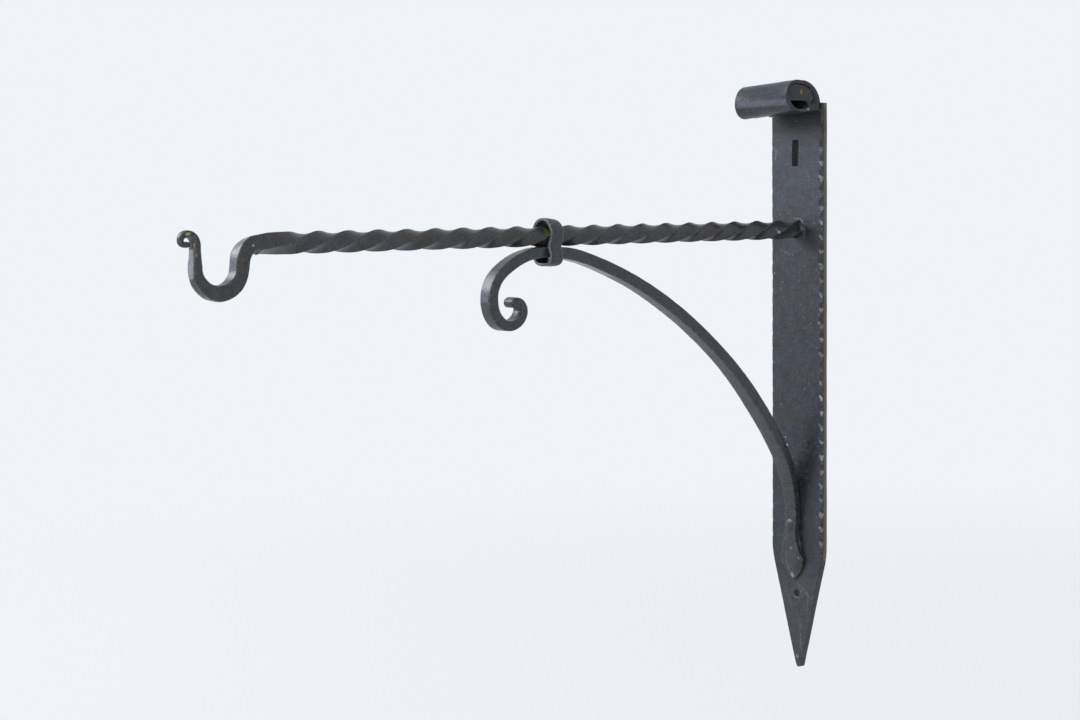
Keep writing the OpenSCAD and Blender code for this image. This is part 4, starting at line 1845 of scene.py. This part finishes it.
PLATE_FINISH = IronFinish(
    "plate_iron_scale", "plate_iron", scale=(0.021, 0.025, 0.034), bluish=(0.028, 0.036, 0.056),
    # The facet colour and its share set the painted glint on the hammer's scallops.
    brownish=(0.031, 0.030, 0.031), roughness=0.42, specks=0.7, facet_glint_share=1.0, edge_wear=0.25,
    blotch=22.0, facet=(0.33, 0.36, 0.41),
    flecks=(
        Fleck((27.2, -28.3, 116.3), 1.7, OCHRE, 0.9, (1.0, 1.0, 0.6)),
        # Painted highlight on the end of the coil's tongue inside the roll.
        Fleck((27.9, -21.5, 102.3), 1.6, WHITISH, 0.7),
        # Painted shade: a dark, duller patch that tones down the highlight on the roll.
        Fleck((-4.0, -45.5, 116.5), 6.0, (0.018, 0.025, 0.038), 0.75, (0.16, 0.6, 1.0)),
        Fleck((-13.7, -6.8, -181.7), 1.0, WHITISH, 0.9),
        Fleck((-11.8, -6.8, -188.6), 1.2, WHITISH, 0.9),
        Fleck((0.2, -6.2, -373.5), 2.2, (0.20, 0.20, 0.20), 0.8),
        Fleck((-27.0, -6.8, -38.0), 0.8, WHITISH, 0.7),
        Fleck((-12.0, -6.8, -20.0), 0.8, LILAC, 0.7),
        Fleck((8.0, -6.8, -76.0), 0.7, WHITISH, 0.6),
    ),
    scratches_and_glints=(
        ScratchAndGlint((-24.8, -6.8, 69.4), (-25.5, -6.8, 61.0), 1.2, 0.5),
        # Painted highlight: the light rim round the arm's shoulder, laid on the plate.
        ScratchAndGlint((-3.0, -6.8, 9.6), (4.5, -6.8, 9.0), 1.3, 0.45),
        ScratchAndGlint((4.5, -6.8, 9.0), (8.4, -6.8, 4.8), 1.5, 0.6),
        ScratchAndGlint((8.4, -6.8, 4.8), (9.8, -6.8, -1.5), 1.4, 0.6),
        ScratchAndGlint((9.8, -6.8, -1.5), (8.8, -6.8, -7.5), 1.2, 0.4),
        ScratchAndGlint((-0.9, -6.8, -307.4), (17.1, -6.8, -321.0), 2.4, 0.20),
        ScratchAndGlint((3.9, -6.8, -340.3), (5.1, -6.8, -367.5), 2.2, 0.20),
        ScratchAndGlint((14.0, -6.8, -318.0), (12.0, -6.8, -334.0), 2.0, 0.12),
        ScratchAndGlint((-14.0, -6.8, -318.0), (-6.0, -6.8, -330.0), 2.2, 0.10),
        ScratchAndGlint((27.2, -17.0, 109.3), (27.8, -12.6, 115.0), 0.8, 0.45),
        ScratchAndGlint((-4.0, -6.8, -319.5), (-1.5, -6.8, -322.0), 1.2, 0.40),
        ScratchAndGlint((-1.5, -6.8, -322.0), (2.6, -6.8, -321.6), 1.2, 0.35),
        ScratchAndGlint((3.9, -6.8, -319.0), (4.2, -6.8, -314.5), 1.1, 0.25),
    ),
    tints=(
        Tint((28.6, -4.3, -330.0), (31.0, 1.0, 109.0), OLIVE, 0.9, 0.5, 0.35),
        Tint((28.6, -4.6, -292.0), (31.0, -0.5, -245.0), RUSTY, 0.6, 0.8, 0.9),
        # Painted shadow on the plate right of the brace's foot.
        Tint((7.0, -25.0, -296.0), (27.0, 12.0, -160.0), (0.009, 0.009, 0.011), 0.45, 9.0, 0.3),
        Tint((28.6, -4.6, -150.0), (31.0, -0.5, -60.0), RUSTY, 0.5, 0.8, 1.0),
        # Painted shade on the right front edge under the roll.
        Tint((25.0, -7.6, 70.0), (31.0, -4.2, 110.0), (0.014, 0.014, 0.016), 0.8, 0.8),
        # Painted shadow of the roll on the plate below it.
        Tint((-34.0, -17.0, 80.0), (34.0, 5.0, 106.0), (0.007, 0.007, 0.009), 0.80, 8.0),
        # Painted shade inside the nail slot.
        Tint((-6.8, -6.35, 52.0), (4.0, 0.5, 80.0), PAINTED_SHADE, 0.95, 0.2),
        # Painted shade inside the lower nail hole.
        Tint((-4.0, -6.5, -322.0), (4.0, 0.5, -313.0), (0.004, 0.004, 0.004), 1.0, 0.2),
        # Painted light on the lit inside of the roll's hollow.
        Tint((21.0, -33.0, 98.5), (29.0, -19.0, 105.0), (0.16, 0.16, 0.17), 0.6, 1.0, 0.6),
        # Painted shade that tones down the light on the roll's front.
        Tint((-35.0, -52.0, 111.0), (27.0, -38.0, 122.0), (0.012, 0.018, 0.030), 0.85, 3.5, 0.2),
        # Painted highlight: a bluish band of reflected light along the roll's front.
        Tint((-35.0, -54.0, 103.5), (27.0, -40.0, 111.5), LILAC, 0.50, 3.0, 0.7),
        # Painted sheen: a light bluish reflection on the upper plate.
        Tint((-40.0, -25.0, 2.0), (36.0, 12.0, 84.0), (0.070, 0.084, 0.115), 0.20, 12.0, 0.3),
        # Painted shade on the roll's near end, which faces away from the key lamp.
        Tint((25.5, -48.0, 96.0), (31.0, -8.0, 127.0), (0.014, 0.014, 0.016), 0.6, 0.8, 0.3),
        Tint((-30.0, -20.0, -390.0), (30.0, 8.0, -300.0), (0.100, 0.097, 0.095), 0.13, 6.0, 1.0),
        # Painted shadow of the arm's root on the plate.
        Tint((2.0, -20.0, -20.0), (26.0, 8.0, 4.0), (0.009, 0.010, 0.013), 0.6, 7.0),
    ))
ARM_FINISH = IronFinish(
    "arm_iron_scale", "arm_iron", scale=(0.034, 0.035, 0.038), brownish=(0.040, 0.034, 0.028),
    edge_wear=0.22, roughness=0.33, brown_share=0.6, specks=0.2, fleck_share=0.4,
    flecks=(
        Fleck((5.8, -558.5, -9.3), 1.1, WHITISH, 0.9),
        Fleck((5.3, -567.4, -19.4), 2.6, (0.085, 0.080, 0.030), 0.5),
        Fleck((3.0, -608.9, -0.9), 1.5, YELLOW, 0.8, (1.0, 0.7, 1.2)),
        Fleck((3.3, -604.5, -9.2), 1.0, YELLOW, 0.6, (1.0, 1.3, 0.6)),
        Fleck((3.8, -603.3, -16.2), 1.1, YELLOW, 0.6, (1.0, 1.3, 0.6)),
        Fleck((6.5, -502.0, -4.0), 1.0, (0.30, 0.17, 0.05), 0.6),
        Fleck((7.3, -35.6, -2.2), 1.5, (0.34, 0.35, 0.38), 0.9),
    ),
    scratches_and_glints=(
        ScratchAndGlint((7.0, -38.0, 1.0), (7.3, -33.0, -6.0), 1.8, 1.0),
    ),
    tints=(
        # Worn bright metal on the hook's limb, with painted sheen on it.
        Tint((-8.0, -612.0, -33.0), (4.0, -597.0, -11.0), (0.24, 0.25, 0.29), 0.9, 1.6, 0.6),
        # Painted shade on the arm's root next to the plate.
        Tint((-14.0, -13.0, -14.0), (14.0, -5.0, 14.0), (0.010, 0.011, 0.013), 0.85, 2.0),
        Tint((-8.0, -612.0, -52.0), (4.2, -572.0, -33.0), (0.026, 0.026, 0.029), 0.7, 4.0, 0.3),
        Tint((2.0, -293.0, -4.5), (9.0, -287.5, 4.0), (0.150, 0.170, 0.040), 0.7, 1.0, 0.6),
        Tint((1.0, -609.0, -20.0), (7.0, -602.0, -1.0), (0.20, 0.19, 0.08), 0.16, 1.5, 1.0),
        # Painted sheen: bluish light on the hook's bend.
        Tint((-8.0, -583.0, -34.0), (4.8, -555.0, -2.0), LILAC, 0.55, 1.6, 0.7),
    ))
BRACE_FINISH = IronFinish(
    "brace_iron_scale", "brace_iron", scale=(0.034, 0.041, 0.048), brownish=(0.036, 0.036, 0.036),
    edge_wear=0.22, roughness=0.31, specks=0.15,
    scratches_and_glints=(
        ScratchAndGlint((5.3, -55.4, -147.8), (5.3, -53.8, -151.8), 1.0, 0.6),
        ScratchAndGlint((0.8, -51.2, -164.1), (5.1, -45.9, -166.7), 1.0, 0.6),
        ScratchAndGlint((-9.9, -10.4, -277.0), (-9.6, -10.4, -290.4), 1.6, 0.18),
        ScratchAndGlint((-9.6, -10.4, -290.4), (-3.4, -9.3, -303.0), 1.8, 0.22),
    ),
    flecks=(
        Fleck((-2.3, -12.2, -277.9), 1.3, WHITISH, 0.5),
        Fleck((5.6, -11.0, -286.0), 1.2, WHITISH, 0.5),
        # Painted highlight on the leaf's tip.
        Fleck((-3.4, -9.3, -302.1), 2.6, (0.26, 0.28, 0.34), 0.8),
        Fleck((-8.0, -10.0, -283.0), 2.2, (0.12, 0.12, 0.13), 0.5),
    ),
    tints=(
        # Painted sheen: the bluish band on the scroll's lit face.
        Tint((-8.0, -352.0, -56.0), (4.8, -338.0, -30.0), LILAC, 0.46, 2.0, 0.6),
        # Painted shade in the gap beside the leaf's right side.
        Tint((5.0, -13.0, -305.0), (16.0, -6.0, -190.0), PAINTED_SHADE, 0.85, 1.0),
        Tint((-14.0, -20.0, -306.0), (14.0, 0.0, -262.0), (0.050, 0.052, 0.061), 0.18, 4.0, 1.0),
        # Painted shade on the leaf's lower right, away from the light.
        Tint((1.0, -20.0, -310.0), (16.0, 0.0, -284.0), PAINTED_SHADE, 0.5, 4.0, 0.4),
        # Painted reflection: the light grey strip along the bow's underside near the collar.
        Tint((-9.0, -285.0, -42.0), (5.8, -220.0, -19.0), (0.185, 0.190, 0.200), 0.8, 2.5, 0.5),
        Tint((-8.0, -352.0, -70.0), (3.5, -338.0, -56.0), (0.062, 0.052, 0.040), 0.5, 3.0, 0.6),
    ))
COLLAR_FINISH = IronFinish(
    "collar_iron_scale", "collar_iron", edge_wear=0.55, roughness=0.42,
    wear_start=0.30,
    tints=(Tint((2.0, -293.0, -3.0), (10.3, -288.0, 6.2), (0.150, 0.170, 0.040), 0.6, 0.8, 0.7),))
RIVET_FINISH = IronFinish(
    "rivet_iron_scale", "rivet_iron", scale=(0.030, 0.032, 0.037), roughness=0.46,
    scratches_and_glints=(
        # Painted highlight: the light crescent on top of the rivet's dome.
        ScratchAndGlint((-6.6, -13.6, -255.5), (-5.0, -13.8, -253.2), 1.6, 0.45),
        ScratchAndGlint((-5.0, -13.8, -253.2), (-1.5, -13.8, -252.6), 1.8, 0.55),
        ScratchAndGlint((-1.5, -13.8, -252.6), (1.2, -13.6, -254.0), 1.4, 0.4),
    ))


def main() -> None:
    """Builds the studio and the bracket piece by piece."""
    logging.basicConfig(level=logging.INFO, format="%(message)s")
    Studio().build()
    pieces = [
        WallPlate("wall_plate", "forged_plate", PLATE_FINISH),
        TwistedArm("arm", "twisted_arm", ARM_FINISH),
        ScrolledBrace("brace", "scrolled_brace", BRACE_FINISH),
        WaistedCollar("collar", "waisted_collar", COLLAR_FINISH),
        DomedRivet("foot_rivet", "domed_rivet", RIVET_FINISH),
    ]
    for piece in pieces:
        piece.build()


if __name__ == "__main__":
    main()
